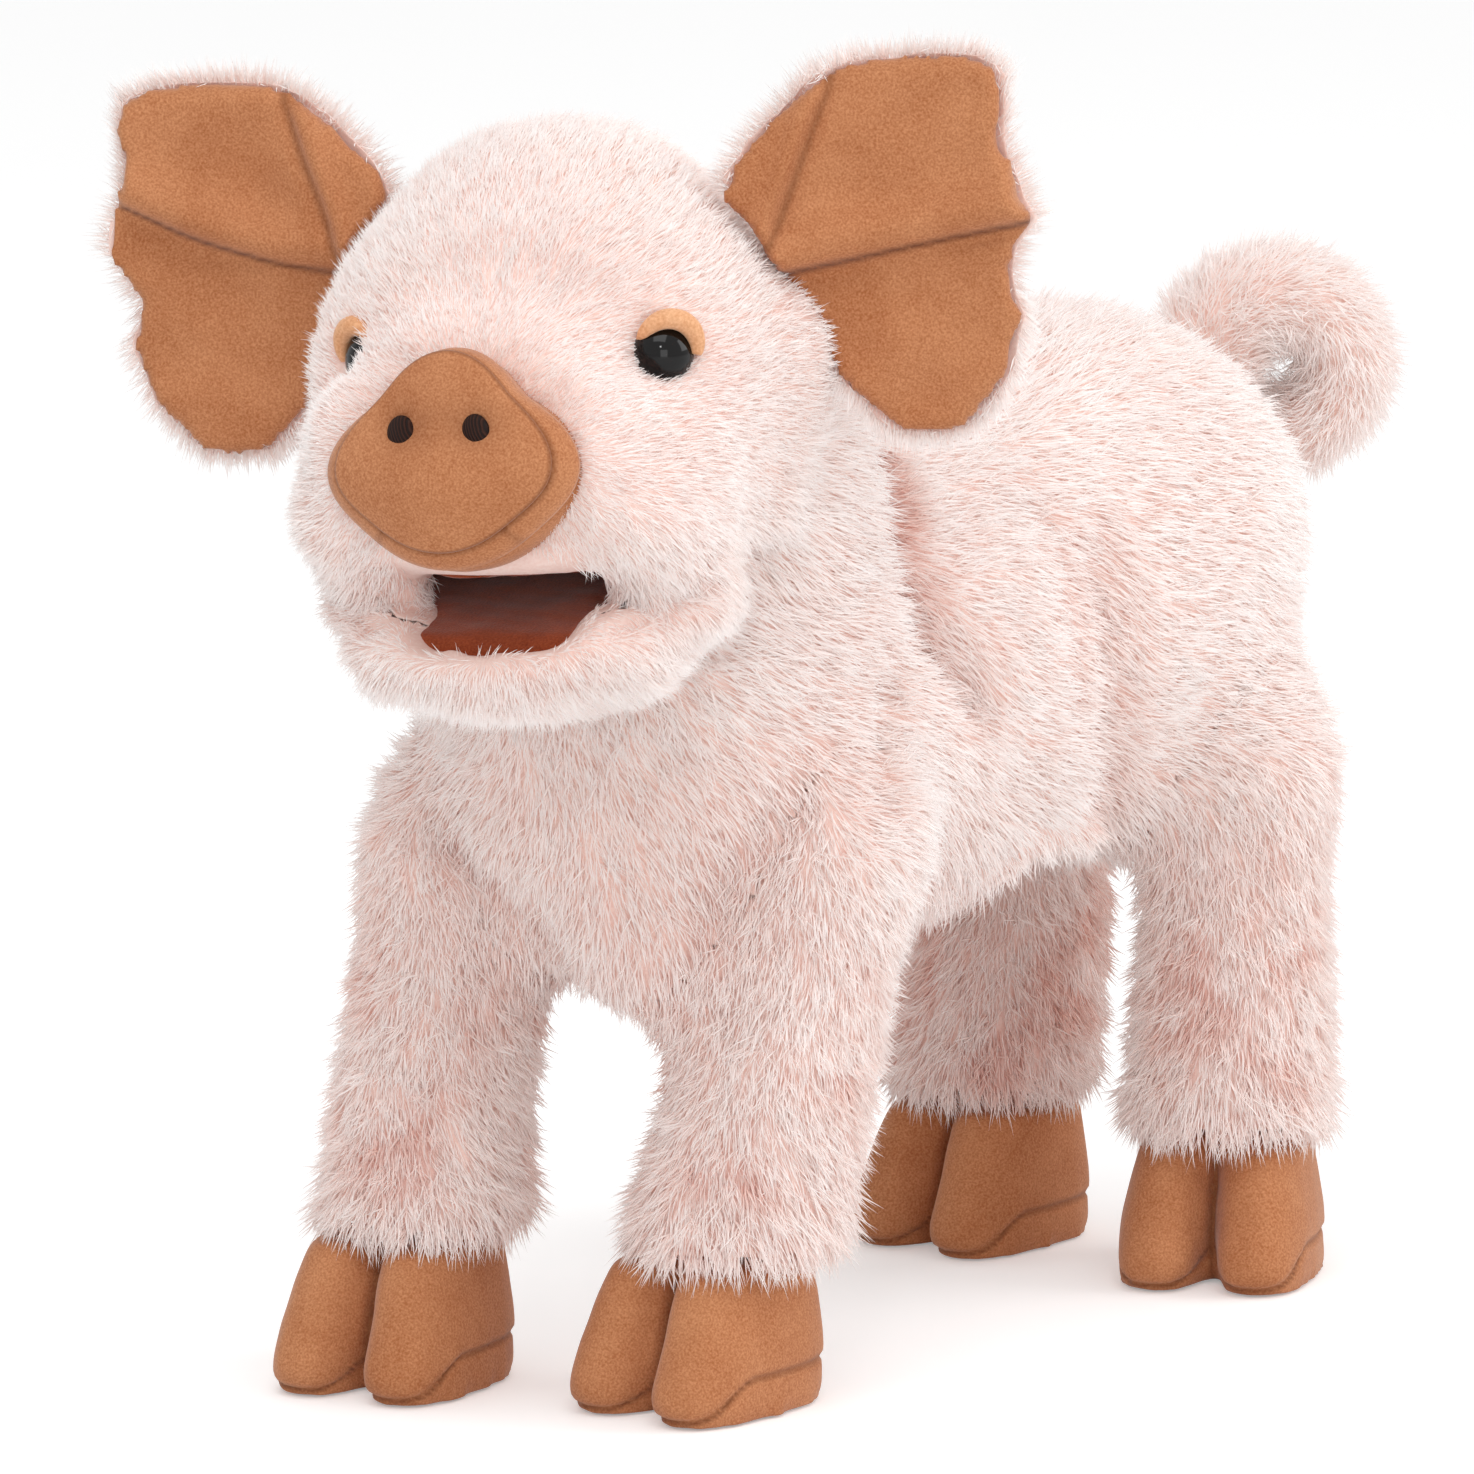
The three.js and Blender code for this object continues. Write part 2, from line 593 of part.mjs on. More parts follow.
// Ears: a plush back and a suede lining with one pleat across, cupped forward and sewn to the head at the
// root. Each row of the outline is a height, then the inner and outer edge, as shares of the ear's size.
const earOutline = [
  [-0.51, 0.55, 0.55],
  [-0.46, 0.33, 0.76],
  [-0.35, 0.19, 0.88],
  [-0.2, 0.1, 0.94],
  [-0.08, 0.02, 0.9],
  [0.04, -0.1, 1],
  [0.14, -0.16, 0.97],
  [0.25, -0.1, 0.91],
  [0.37, 0.06, 0.94],
  [0.45, 0.2, 0.9],
  [0.49, 0.56, 0.56],
];
for (const [name, side, sweep] of [['right', -1, earSweepRight], ['left', 1, earSweepLeft]]) {
  const ear = new THREE.Group();
  ear.position.set(side * earRootX, -earRootForward, earRootRise);
  ear.rotation.z = rad(side * sweep);
  skull.add(ear);
  const cupped = (point) => {
    const across = (side * point.x / earReach - 0.5) * 2;
    const pleat = THREE.MathUtils.smoothstep(point.z, -earPleat, earPleat);
    point.y += earCup * (1 - across * across) - earPleat * pleat;
  };
  const earPlate = (border, front, back, grow = 0) => stuffed(earOutline.map(([rise, inner, outer]) => {
    const half = Math.max((outer - inner) * earReach / 2 - border, 0);
    return [side * (inner + outer) * earReach / 2, (front + back) / 2, rise * (earHeight - 2 * border), half,
      half > 0 ? (back - front) / 2 : 0];
  }), { sides: 12, spanRings: 1, capRings: 2, bend: cupped, square: 0.6, level: upright, grow });
  const headRoom = moved(headForm(runningGap), skull, ear);
  const flops = [-earFlop, 0, earFlop];
  const back = earPlate(0, 0, earPlush);
  const front = earPlate(earBorder, -suedeWall, 0).subtract(earPlate(0, 0, earPlush, clearance));
  piece(ear, `ear_back_${name}`, trimmed(back, headRoom, upright, flops), plush());
  piece(ear, `ear_lining_${name}`, trimmed(front, headRoom, upright, flops), suede());
}

// Legs: each a plush tube round stuffing, on a hoof of two suede toes and a sole
for (const { name, hipX, hipY, footX, footY, turn } of [frontRight, frontLeft, hindRight, hindLeft]) {
  const leg = new THREE.Group();
  leg.position.set(hipX, hipY, hipHeight);
  toy.add(leg);
  const [reachX, reachY] = [footX - hipX, footY - hipY];
  const limb = (height, width) => {
    const share = 1 - height / hipHeight;
    return [reachX * share, reachY * share, height - hipHeight, width / 2, width / 2];
  };
  const cuff = hoofHeight + clearance;
  const legStations = [
    limb(cuff, cuffWidth),
    limb(hoofHeight + cuffWidth / 2, (cuffWidth + legWidth) / 2),
    limb(hipHeight - thighWidth / 2, legWidth),
    limb(hipHeight, thighWidth),
    limb(hipHeight + thighWidth * 0.6, 0),
  ];
  const torsoRoom = moved(barrelForm(runningGap), torso, leg);
  const outside = trimmed(stuffed(legStations, { sides: 14, level: upright }), torsoRoom, sideways,
    [-legSwing, 0, legSwing]);
  const fillForm = (base, slim, top) => stuffed([limb(base, cuffWidth - slim), limb(top, legWidth - slim)],
    { sides: 14, spanRings: 1, level: upright });
  const hollow = fillForm(cuff - clearance, 2 * plushWall, legFillHeight + clearance);
  const filling = fillForm(cuff, 2 * (plushWall + clearance), legFillHeight);
  piece(leg, `${name}_leg_skin`, outside.subtract(hollow), plush());
  piece(leg, `${name}_leg_stuffing`, filling, fibre());

  const hoof = new THREE.Group();
  hoof.position.set(reachX, reachY, -hipHeight);
  hoof.rotation.z = rad(turn);
  leg.add(hoof);
  const toeHalf = hoofWidth / 4;
  const soleShape = (lobe) => stuffed([
    [lobe * toeHalf, 0, 0, toeHalf + clearance, hoofLength / 2 - soleEase],
    [lobe * toeHalf, 0, soleThickness, toeHalf + clearance, hoofLength / 2],
  ], { sides: 16, spanRings: 1, square: 0.8, level: upright });
  piece(hoof, `${name}_sole`, soleShape(-1).add(soleShape(1)), suede());
  for (const [toeName, lobe] of [['right', -1], ['left', 1]]) {
    const topHalf = hoofTopWidth / 4;
    const toe = stuffed([
      [lobe * toeHalf, 0, soleThickness + clearance, toeHalf - clearance / 2, hoofLength / 2],
      [lobe * toeHalf, 0, hoofHeight * 0.45, toeHalf - clearance / 2, hoofLength / 2],
      [lobe * (topHalf + clearance / 2), hoofSetBack, hoofHeight, topHalf, hoofTopLength / 2],
    ], { sides: 16, spanRings: 2, square: 0.85, level: upright });
    piece(hoof, `${name}_toe_${toeName}`, toe, suede());
  }
}

// Tail: a stuffed curl that leaves the rump and comes back round to it
const tail = new THREE.Group();
tail.position.set(0, torsoFront + torsoLength - tailInset, tailRootHeight);
tail.rotation.z = rad(curlFacing);
toy.add(tail);
const tailStations = [];
const curlSteps = 12;
for (let i = 0; i <= curlSteps; i++) {
  const share = i / curlSteps;
  const angle = Math.PI - share * rad(curlTurn);
  const width = i === curlSteps ? 0 : tailThickness + (tailTip - tailThickness) * share;
  tailStations.push([curlRadius * (1 + Math.cos(angle)), curlDrift * share, curlRadius * Math.sin(angle),
    width / 2, width / 2]);
}
tailStations.unshift([-tailThickness / 2, 0, -tailThickness, 0, 0]);
const tailForm = stuffed(tailStations, { sides: 12, spanRings: 1, side: new THREE.Vector3(0, 1, 0) });
const rumpRoom = moved(barrelForm(runningGap), torso, tail);
piece(tail, 'tail_skin', trimmed(tailForm, rumpRoom, upright, [-tailWag, 0, tailWag]), plush());

// The part's origin lies on the floor under the middle of the toy
toy.updateMatrixWorld(true);
const bounds = new THREE.Box3().setFromObject(toy, true);
const middle = bounds.getCenter(new THREE.Vector3());
toy.position.set(-middle.x, -middle.y, -bounds.min.z);

export default toy;
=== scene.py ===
import json
import math
import bmesh
import bpy
from mathutils import Matrix, Vector, geometry, noise
from mathutils.bvhtree import BVHTree


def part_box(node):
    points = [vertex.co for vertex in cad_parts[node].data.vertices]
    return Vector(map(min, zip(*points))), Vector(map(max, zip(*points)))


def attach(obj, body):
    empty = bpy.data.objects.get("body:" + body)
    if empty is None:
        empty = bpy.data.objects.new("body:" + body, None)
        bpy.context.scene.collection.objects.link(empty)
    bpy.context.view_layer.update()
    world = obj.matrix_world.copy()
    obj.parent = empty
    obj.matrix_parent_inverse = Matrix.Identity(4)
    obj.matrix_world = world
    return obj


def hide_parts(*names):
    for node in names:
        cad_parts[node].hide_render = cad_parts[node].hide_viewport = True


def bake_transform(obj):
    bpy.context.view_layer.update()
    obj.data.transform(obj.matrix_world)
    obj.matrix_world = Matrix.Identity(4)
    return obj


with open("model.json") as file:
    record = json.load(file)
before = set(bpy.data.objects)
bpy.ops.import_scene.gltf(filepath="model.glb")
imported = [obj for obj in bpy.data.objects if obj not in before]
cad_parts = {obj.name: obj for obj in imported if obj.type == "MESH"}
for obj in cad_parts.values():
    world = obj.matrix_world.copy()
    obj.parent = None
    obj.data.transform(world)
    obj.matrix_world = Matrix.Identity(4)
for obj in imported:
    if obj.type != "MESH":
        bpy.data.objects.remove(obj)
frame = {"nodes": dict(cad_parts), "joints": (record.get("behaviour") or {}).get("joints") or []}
noise.seed_set(1)
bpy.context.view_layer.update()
scene = bpy.context.scene
joints = {joint["name"]: joint for joint in frame["joints"]}
mm = 0.001
sides = {"right": -1, "left": 1}
legNames = ("front_right", "front_left", "hind_right", "hind_left")


def turn(degrees, axis):
    return Matrix.Rotation(math.radians(degrees), 4, axis)


def shift(x, y, z):
    return Matrix.Translation(Vector((x, y, z)) * mm)


def pivot(name):
    return Vector(joints[name]["pos_m"])


def ease(low, high, value):
    share = min(max((value - low) / (high - low), 0), 1)
    return share * share * (3 - 2 * share)


# the same over a span in mm, for a length in metres
def easeMm(span, length):
    return ease(span[0] * mm, span[1] * mm, length)


def bump(value, width):
    return math.exp(-(value / width) ** 2)


# where the head, snout, eyes and ears sit, in mm and degrees from the neck outwards
stance = {"neckYaw": 18, "headRoll": 4, "skull": (0, -42, 29), "snout": (0, -60, 1), "snoutTilt": 6,
          "eye": (36.5, -39, 17), "eyeTurn": 40, "eyeLift": 12,
          "ear": (46, 3, 33), "earSweep": {"right": -8, "left": 14}}
neckAt = pivot("head_nod")
skullAt = (Matrix.Translation(neckAt) @ turn(stance["neckYaw"], "Z") @ turn(-stance["headRoll"], "Y")
           @ shift(*stance["skull"]))
snoutAt = skullAt @ shift(*stance["snout"]) @ turn(-stance["snoutTilt"], "X")
eyeAt = {}
earAt = {}
for side, sign in sides.items():
    eyeX, eyeY, eyeZ = stance["eye"]
    eyeAt[side] = (skullAt @ shift(sign * eyeX, eyeY, eyeZ) @ turn(sign * stance["eyeTurn"], "Z")
                   @ turn(-stance["eyeLift"], "X"))
    earX, earY, earZ = stance["ear"]
    earAt[side] = skullAt @ shift(sign * earX, earY, earZ) @ turn(sign * stance["earSweep"][side], "Z")

# camera at the photograph's angle
view = {"azimuth": 38, "elevation": 10, "distance": 3.0, "lens": 315, "target": (-0.02462, -0.00449, 0.1395)}
azimuth, elevation = math.radians(view["azimuth"]), math.radians(view["elevation"])
towards = Vector((math.sin(azimuth) * math.cos(elevation), -math.cos(azimuth) * math.cos(elevation),
                  math.sin(elevation)))
lens = bpy.data.cameras.new("camera")
lens.lens = view["lens"]
lens.sensor_width = 36
lens.clip_end = 50
camera = bpy.data.objects.new("camera", lens)
camera.location = Vector(view["target"]) + towards * view["distance"]
camera.rotation_euler = towards.to_track_quat("Z", "Y").to_euler()
scene.collection.objects.link(camera)
scene.camera = camera
scene.view_settings.view_transform = "Standard"
scene.cycles.max_bounces = 16
scene.cycles.diffuse_bounces = 10
print("camera set")


# shader building blocks
def newMaterial(name):
    finish = bpy.data.materials.new(name)
    finish.use_nodes = True
    tree = finish.node_tree
    return finish, tree, tree.links, tree.nodes["Principled BSDF"]


def addNode(tree, kind, **settings):
    node = tree.nodes.new(kind)
    for key, value in settings.items():
        setattr(node, key, value)
    return node


def setInputs(node, values):
    for label, value in values.items():
        node.inputs[label].default_value = value


def raiseGrain(tree, principled, height, strength, distance):
    grain = addNode(tree, "ShaderNodeBump")
    setInputs(grain, {"Strength": strength, "Distance": distance})
    tree.links.new(height, grain.inputs["Height"])
    tree.links.new(grain.outputs["Normal"], principled.inputs["Normal"])


def mixColour(tree, factor, first, second, blend="MIX"):
    mix = addNode(tree, "ShaderNodeMix", data_type="RGBA", blend_type=blend)
    for socket, value in ((mix.inputs[0], factor), (mix.inputs[6], first), (mix.inputs[7], second)):
        if hasattr(value, "node"):
            tree.links.new(value, socket)
        elif hasattr(value, "__len__"):
            socket.default_value = (*value, 1)
        else:
            socket.default_value = value
    return mix.outputs[2]


def srgb(red, green, blue):
    return tuple((c / 255 / 12.92 if c <= 10 else ((c / 255 + 0.055) / 1.055) ** 2.4) for c in (red, green, blue))


# short nap: fine fibres, cloudy brushed patches and a height for the bump
def napGroup():
    tree = bpy.data.node_groups.new("brushedNap", "ShaderNodeTree")
    for label, low in (("Fibre Scale", 900.0), ("Patch Scale", 60.0)):
        tree.interface.new_socket(label, in_out="INPUT", socket_type="NodeSocketFloat").default_value = low
    for label in ("Patch", "Fibre", "Height"):
        tree.interface.new_socket(label, in_out="OUTPUT", socket_type="NodeSocketFloat")
    given = addNode(tree, "NodeGroupInput")
    result = addNode(tree, "NodeGroupOutput")
    place = addNode(tree, "ShaderNodeTexCoord")
    fibre = addNode(tree, "ShaderNodeTexNoise")
    setInputs(fibre, {"Detail": 3})
    patch = addNode(tree, "ShaderNodeTexNoise")
    setInputs(patch, {"Detail": 4, "Distortion": 0.6})
    height = addNode(tree, "ShaderNodeMath", operation="MULTIPLY_ADD")
    height.inputs[1].default_value = 0.7
    for texture, label in ((fibre, "Fibre Scale"), (patch, "Patch Scale")):
        tree.links.new(place.outputs["Object"], texture.inputs["Vector"])
        tree.links.new(given.outputs[label], texture.inputs["Scale"])
    tree.links.new(fibre.outputs["Fac"], height.inputs[0])
    tree.links.new(patch.outputs["Fac"], height.inputs[2])
    for texture, label in ((patch, "Patch"), (fibre, "Fibre")):
        spread = addNode(tree, "ShaderNodeMapRange")
        setInputs(spread, {"From Min": 0.32, "From Max": 0.68})
        tree.links.new(texture.outputs["Fac"], spread.inputs["Value"])
        tree.links.new(spread.outputs[0], result.inputs[label])
    tree.links.new(height.outputs[0], result.inputs["Height"])
    return tree


nap = napGroup()


# two tones and the tone of seams and painted shade, fibres and patches per metre, relief in metres
napFinishes = {"tanSuede": {"dark": (162, 96, 58), "light": (206, 144, 102), "seam": (104, 56, 32),
                            "fibres": 1900, "patches": 60, "relief": 0.0003, "sheen": 0.25, "roughness": 0.9},
               "lidSuede": {"dark": (212, 148, 102), "light": (242, 190, 148), "seam": (150, 96, 60),
                            "fibres": 1500, "patches": 120, "relief": 0.0003, "sheen": 0.3, "roughness": 0.9},
               "mouthVelour": {"dark": (128, 56, 30), "light": (170, 84, 50), "seam": (86, 34, 18),
                               "fibres": 1900, "patches": 140, "relief": 0.0004, "sheen": 0.4, "roughness": 0.95},
               "plushBacking": {"dark": (240, 208, 198), "light": (250, 228, 220), "seam": (214, 160, 148),
                                "fibres": 1200, "patches": 80, "relief": 0.0004, "sheen": 0.2, "roughness": 0.95}}


def napMaterial(name):
    look = napFinishes[name]
    dark, light, seamTone = (srgb(*look[label]) for label in ("dark", "light", "seam"))
    finish, tree, links, principled = newMaterial(name)
    group = addNode(tree, "ShaderNodeGroup", node_tree=nap)
    setInputs(group, {"Fibre Scale": look["fibres"], "Patch Scale": look["patches"]})
    tone = mixColour(tree, group.outputs["Patch"], dark, light)
    fleck = mixColour(tree, 0.7, tone, mixColour(tree, group.outputs["Fibre"], dark, light))
    # darker toward the seam tone where sewn seams and painted shade are marked on the piece
    seam = addNode(tree, "ShaderNodeAttribute", attribute_name="seam")
    links.new(mixColour(tree, seam.outputs["Fac"], fleck, seamTone), principled.inputs["Base Color"])
    raiseGrain(tree, principled, group.outputs["Height"], 0.5, look["relief"])
    setInputs(principled, {"Roughness": look["roughness"], "Sheen Weight": look["sheen"], "Sheen Roughness": 0.4,
                           "Specular IOR Level": 0.15})
    return finish


suede, lidSuede, velour, backing = (napMaterial(name) for name in napFinishes)


# pile: tone across and root to tip along each strand's own map
def furMaterial():
    finish, tree, links, principled = newMaterial("palePlush")
    place = addNode(tree, "ShaderNodeUVMap", uv_map="OFBake")
    parts = addNode(tree, "ShaderNodeSeparateXYZ")
    links.new(place.outputs["UV"], parts.inputs[0])
    pink = addNode(tree, "ShaderNodeValToRGB")
    pale = addNode(tree, "ShaderNodeValToRGB")
    for ramp, stops in ((pink, ((0.0, srgb(226, 168, 150)), (0.4, srgb(248, 225, 217)), (1.0, srgb(254, 245, 241)))),
                        (pale, ((0.0, srgb(242, 208, 196)), (0.4, srgb(252, 243, 240)), (1.0, srgb(254, 251, 250))))):
        stripes = ramp.color_ramp.elements
        stripes.new(0.5)
        for stripe, (position, colour) in zip(stripes, stops):
            stripe.position = position
            stripe.color = (*colour, 1)
        links.new(parts.outputs["X"], ramp.inputs["Fac"])
    along = addNode(tree, "ShaderNodeMapRange", interpolation_type="SMOOTHSTEP")
    setInputs(along, {"From Min": 0.1, "From Max": 0.75})
    links.new(parts.outputs["Y"], along.inputs["Value"])
    links.new(mixColour(tree, along.outputs[0], pink.outputs["Color"], pale.outputs["Color"]),
              principled.inputs["Base Color"])
    setInputs(principled, {"Roughness": 0.75, "Sheen Weight": 0.3, "Specular IOR Level": 0.2})
    return finish


plush = furMaterial()


# plain woven cloth for the hand lining
def liningMaterial():
    finish, tree, links, principled = newMaterial("wovenLining")
    place = addNode(tree, "ShaderNodeTexCoord")
    weave = None
    for direction in ("X", "Y", "Z"):
        threads = addNode(tree, "ShaderNodeTexWave", wave_type="BANDS", bands_direction=direction)
        setInputs(threads, {"Scale": 420, "Distortion": 0.8})
        links.new(place.outputs["Object"], threads.inputs["Vector"])
        if weave is None:
            weave = threads.outputs["Fac"]
        else:
            join = addNode(tree, "ShaderNodeMath", operation="MAXIMUM")
            links.new(weave, join.inputs[0])
            links.new(threads.outputs["Fac"], join.inputs[1])
            weave = join.outputs[0]
    links.new(mixColour(tree, weave, srgb(206, 176, 162), srgb(238, 218, 206)), principled.inputs["Base Color"])
    raiseGrain(tree, principled, weave, 0.4, 0.0003)
    setInputs(principled, {"Roughness": 0.85})
    return finish


lining = liningMaterial()


# glossy eye: near black with a greyer rim
def eyeMaterial():
    finish, tree, links, principled = newMaterial("eyeGloss")
    rim = addNode(tree, "ShaderNodeAttribute", attribute_name="seam")
    links.new(mixColour(tree, rim.outputs["Fac"], srgb(8, 6, 6), srgb(46, 40, 38)), principled.inputs["Base Color"])
    speck = addNode(tree, "ShaderNodeTexNoise")
    setInputs(speck, {"Scale": 500})
    place = addNode(tree, "ShaderNodeTexCoord")
    links.new(place.outputs["Object"], speck.inputs["Vector"])
    gloss = addNode(tree, "ShaderNodeMapRange")
    setInputs(gloss, {"To Min": 0.04, "To Max": 0.09})
    links.new(speck.outputs["Fac"], gloss.inputs["Value"])
    links.new(gloss.outputs[0], principled.inputs["Roughness"])
    setInputs(principled, {"Specular IOR Level": 0.28})
    return finish


eyeGloss = eyeMaterial()


# satin stitch: parallel threads
def threadMaterial():
    finish, tree, links, principled = newMaterial("satinThread")
    place = addNode(tree, "ShaderNodeTexCoord")
    lay = addNode(tree, "ShaderNodeMapping")
    lay.inputs["Rotation"].default_value = (0, math.radians(20), math.radians(stance["neckYaw"]))
    threads = addNode(tree, "ShaderNodeTexWave", wave_type="BANDS", bands_direction="X")
    setInputs(threads, {"Scale": 520, "Distortion": 1.2})
    links.new(place.outputs["Object"], lay.inputs["Vector"])
    links.new(lay.outputs["Vector"], threads.inputs["Vector"])
    links.new(mixColour(tree, threads.outputs["Fac"], srgb(22, 9, 6), srgb(58, 30, 20)),
              principled.inputs["Base Color"])
    raiseGrain(tree, principled, threads.outputs["Fac"], 0.8, 0.0004)
    setInputs(principled, {"Roughness": 0.6, "Specular IOR Level": 0.2})
    return finish


thread = threadMaterial()


# moulded washers inside the head
def washerMaterial():
    finish, tree, links, principled = newMaterial("washerPlastic")
    place = addNode(tree, "ShaderNodeTexCoord")
    grain = addNode(tree, "ShaderNodeTexNoise")
    setInputs(grain, {"Scale": 800})
    links.new(place.outputs["Object"], grain.inputs["Vector"])
    links.new(mixColour(tree, grain.outputs["Fac"], srgb(226, 223, 216), srgb(238, 236, 230)),
              principled.inputs["Base Color"])
    setInputs(principled, {"Roughness": 0.5})
    return finish


washerPlastic = washerMaterial()
print("materials made")


# mesh building blocks
def newPiece(name, bm, finish, smooth=True):
    for face in bm.faces:
        face.smooth = smooth
    mesh = bpy.data.meshes.new(name)
    bm.to_mesh(mesh)
    bm.free()
    mesh.materials.append(finish)
    obj = bpy.data.objects.new(name, mesh)
    scene.collection.objects.link(obj)
    return obj


def nodeCopy(*names):
    bm = bmesh.new()
    for name in names:
        bm.from_mesh(frame["nodes"][name].data)
    bmesh.ops.remove_doubles(bm, verts=bm.verts, dist=1e-6)
    return bm


def settle(obj):
    depsgraph = bpy.context.evaluated_depsgraph_get()
    mesh = bpy.data.meshes.new_from_object(obj.evaluated_get(depsgraph), preserve_all_data_layers=True,
                                           depsgraph=depsgraph)
    mesh.name = obj.name
    obj.modifiers.clear()
    obj.data = mesh


def voxels(obj, size):
    grid = obj.modifiers.new("voxels", "REMESH")
    grid.mode = "VOXEL"
    grid.voxel_size = size * mm
    grid.use_smooth_shade = True
    settle(obj)


def remeshed(name, nodeNames, voxel, finish):
    obj = newPiece(name, nodeCopy(*nodeNames), finish)
    voxels(obj, voxel)
    return obj


def soften(obj, rounds):
    bm = bmesh.new()
    bm.from_mesh(obj.data)
    for step in range(rounds):
        bmesh.ops.smooth_vert(bm, verts=bm.verts, factor=0.5, use_axis_x=True, use_axis_y=True, use_axis_z=True)
    bm.to_mesh(obj.data)
    bm.free()


def sculpt(obj, move):
    bm = bmesh.new()
    bm.from_mesh(obj.data)
    bm.normal_update()
    moves = [move(vert.co, vert.normal) for vert in bm.verts]
    for vert, offset in zip(bm.verts, moves):
        vert.co += offset
    bm.to_mesh(obj.data)
    bm.free()


def refine(obj, levels=1):
    fine = obj.modifiers.new("fine", "SUBSURF")
    fine.levels = levels
    fine.render_levels = levels
    settle(obj)


stuffingFrames = 20
liningDepth = 3  # mm behind a wall where its lining is looked for


# stuffing pushes the cloth out from inside, no further than the cap; walls behind a lining are held
def stuff(obj, pressure, cap, covered=None):
    start = [vert.co.copy() for vert in obj.data.vertices]
    cloth = obj.modifiers.new("stuffing", "CLOTH")
    if covered:
        held = obj.vertex_groups.new(name="held")
        for vert in obj.data.vertices:
            held.add((vert.index,), covered(vert.co, vert.normal, liningDepth), "REPLACE")
        cloth.settings.vertex_group_mass = "held"
    cloth.settings.use_pressure = True
    cloth.settings.uniform_pressure_force = pressure
    cloth.settings.effector_weights.gravity = 0
    cloth.point_cache.frame_start = 1
    cloth.point_cache.frame_end = stuffingFrames
    for step in range(1, stuffingFrames + 1):
        scene.frame_set(step)
    settle(obj)
    scene.frame_set(1)
    for vert, rest in zip(obj.data.vertices, start):
        way = vert.co - rest
        if way.length > cap * mm:
            vert.co = rest + way.normalized() * cap * mm


def paint(obj, name, values):
    layer = obj.data.attributes.new(name, "FLOAT", "POINT")
    layer.data.foreach_set("value", values)


def points(obj):
    return [(vert.co.copy(), vert.normal.copy()) for vert in obj.data.vertices]


# one strand: a closed sliver from root to tip, widest at its belly, with its tip bent over
strandShape = {"belly": 0.42, "root": -0.05, "bellyBend": 1.0, "tipBend": 8.0}


def makeStrand():
    bm = bmesh.new()
    bmesh.ops.create_cone(bm, cap_ends=True, cap_tris=False, segments=3, radius1=1, radius2=0, depth=2)
    bmesh.ops.remove_doubles(bm, verts=bm.verts, dist=1e-5)
    along = bm.verts.layers.float.new("along")
    across = bm.verts.layers.float.new("across")
    flanks = [1, -1]
    for vert in sorted(bm.verts, key=lambda corner: (corner.co.z, abs(corner.co.x))):
        if vert.co.z > 0:
            vert.co = (strandShape["tipBend"], 0, 1)
            vert[along] = 1
        elif flanks and abs(vert.co.x) > 0.5:
            vert[across] = flanks.pop()
            vert[along] = strandShape["belly"]
            vert.co = (strandShape["bellyBend"], vert[across], strandShape["belly"])
        else:
            vert.co = (0, 0, strandShape["root"])
    bmesh.ops.recalc_face_normals(bm, faces=bm.faces)
    return newPiece("strand", bm, plush, False)


strand = makeStrand()


# how strands differ: tone by chance, tuft, and blush with painted shade; width and length as shares of the coat's
strandVary = {"tone": (0.58, 0.8), "tuftTone": 0.24, "blushTone": 0.5, "width": (0.75, 1.25), "length": (0.7, 1.15)}


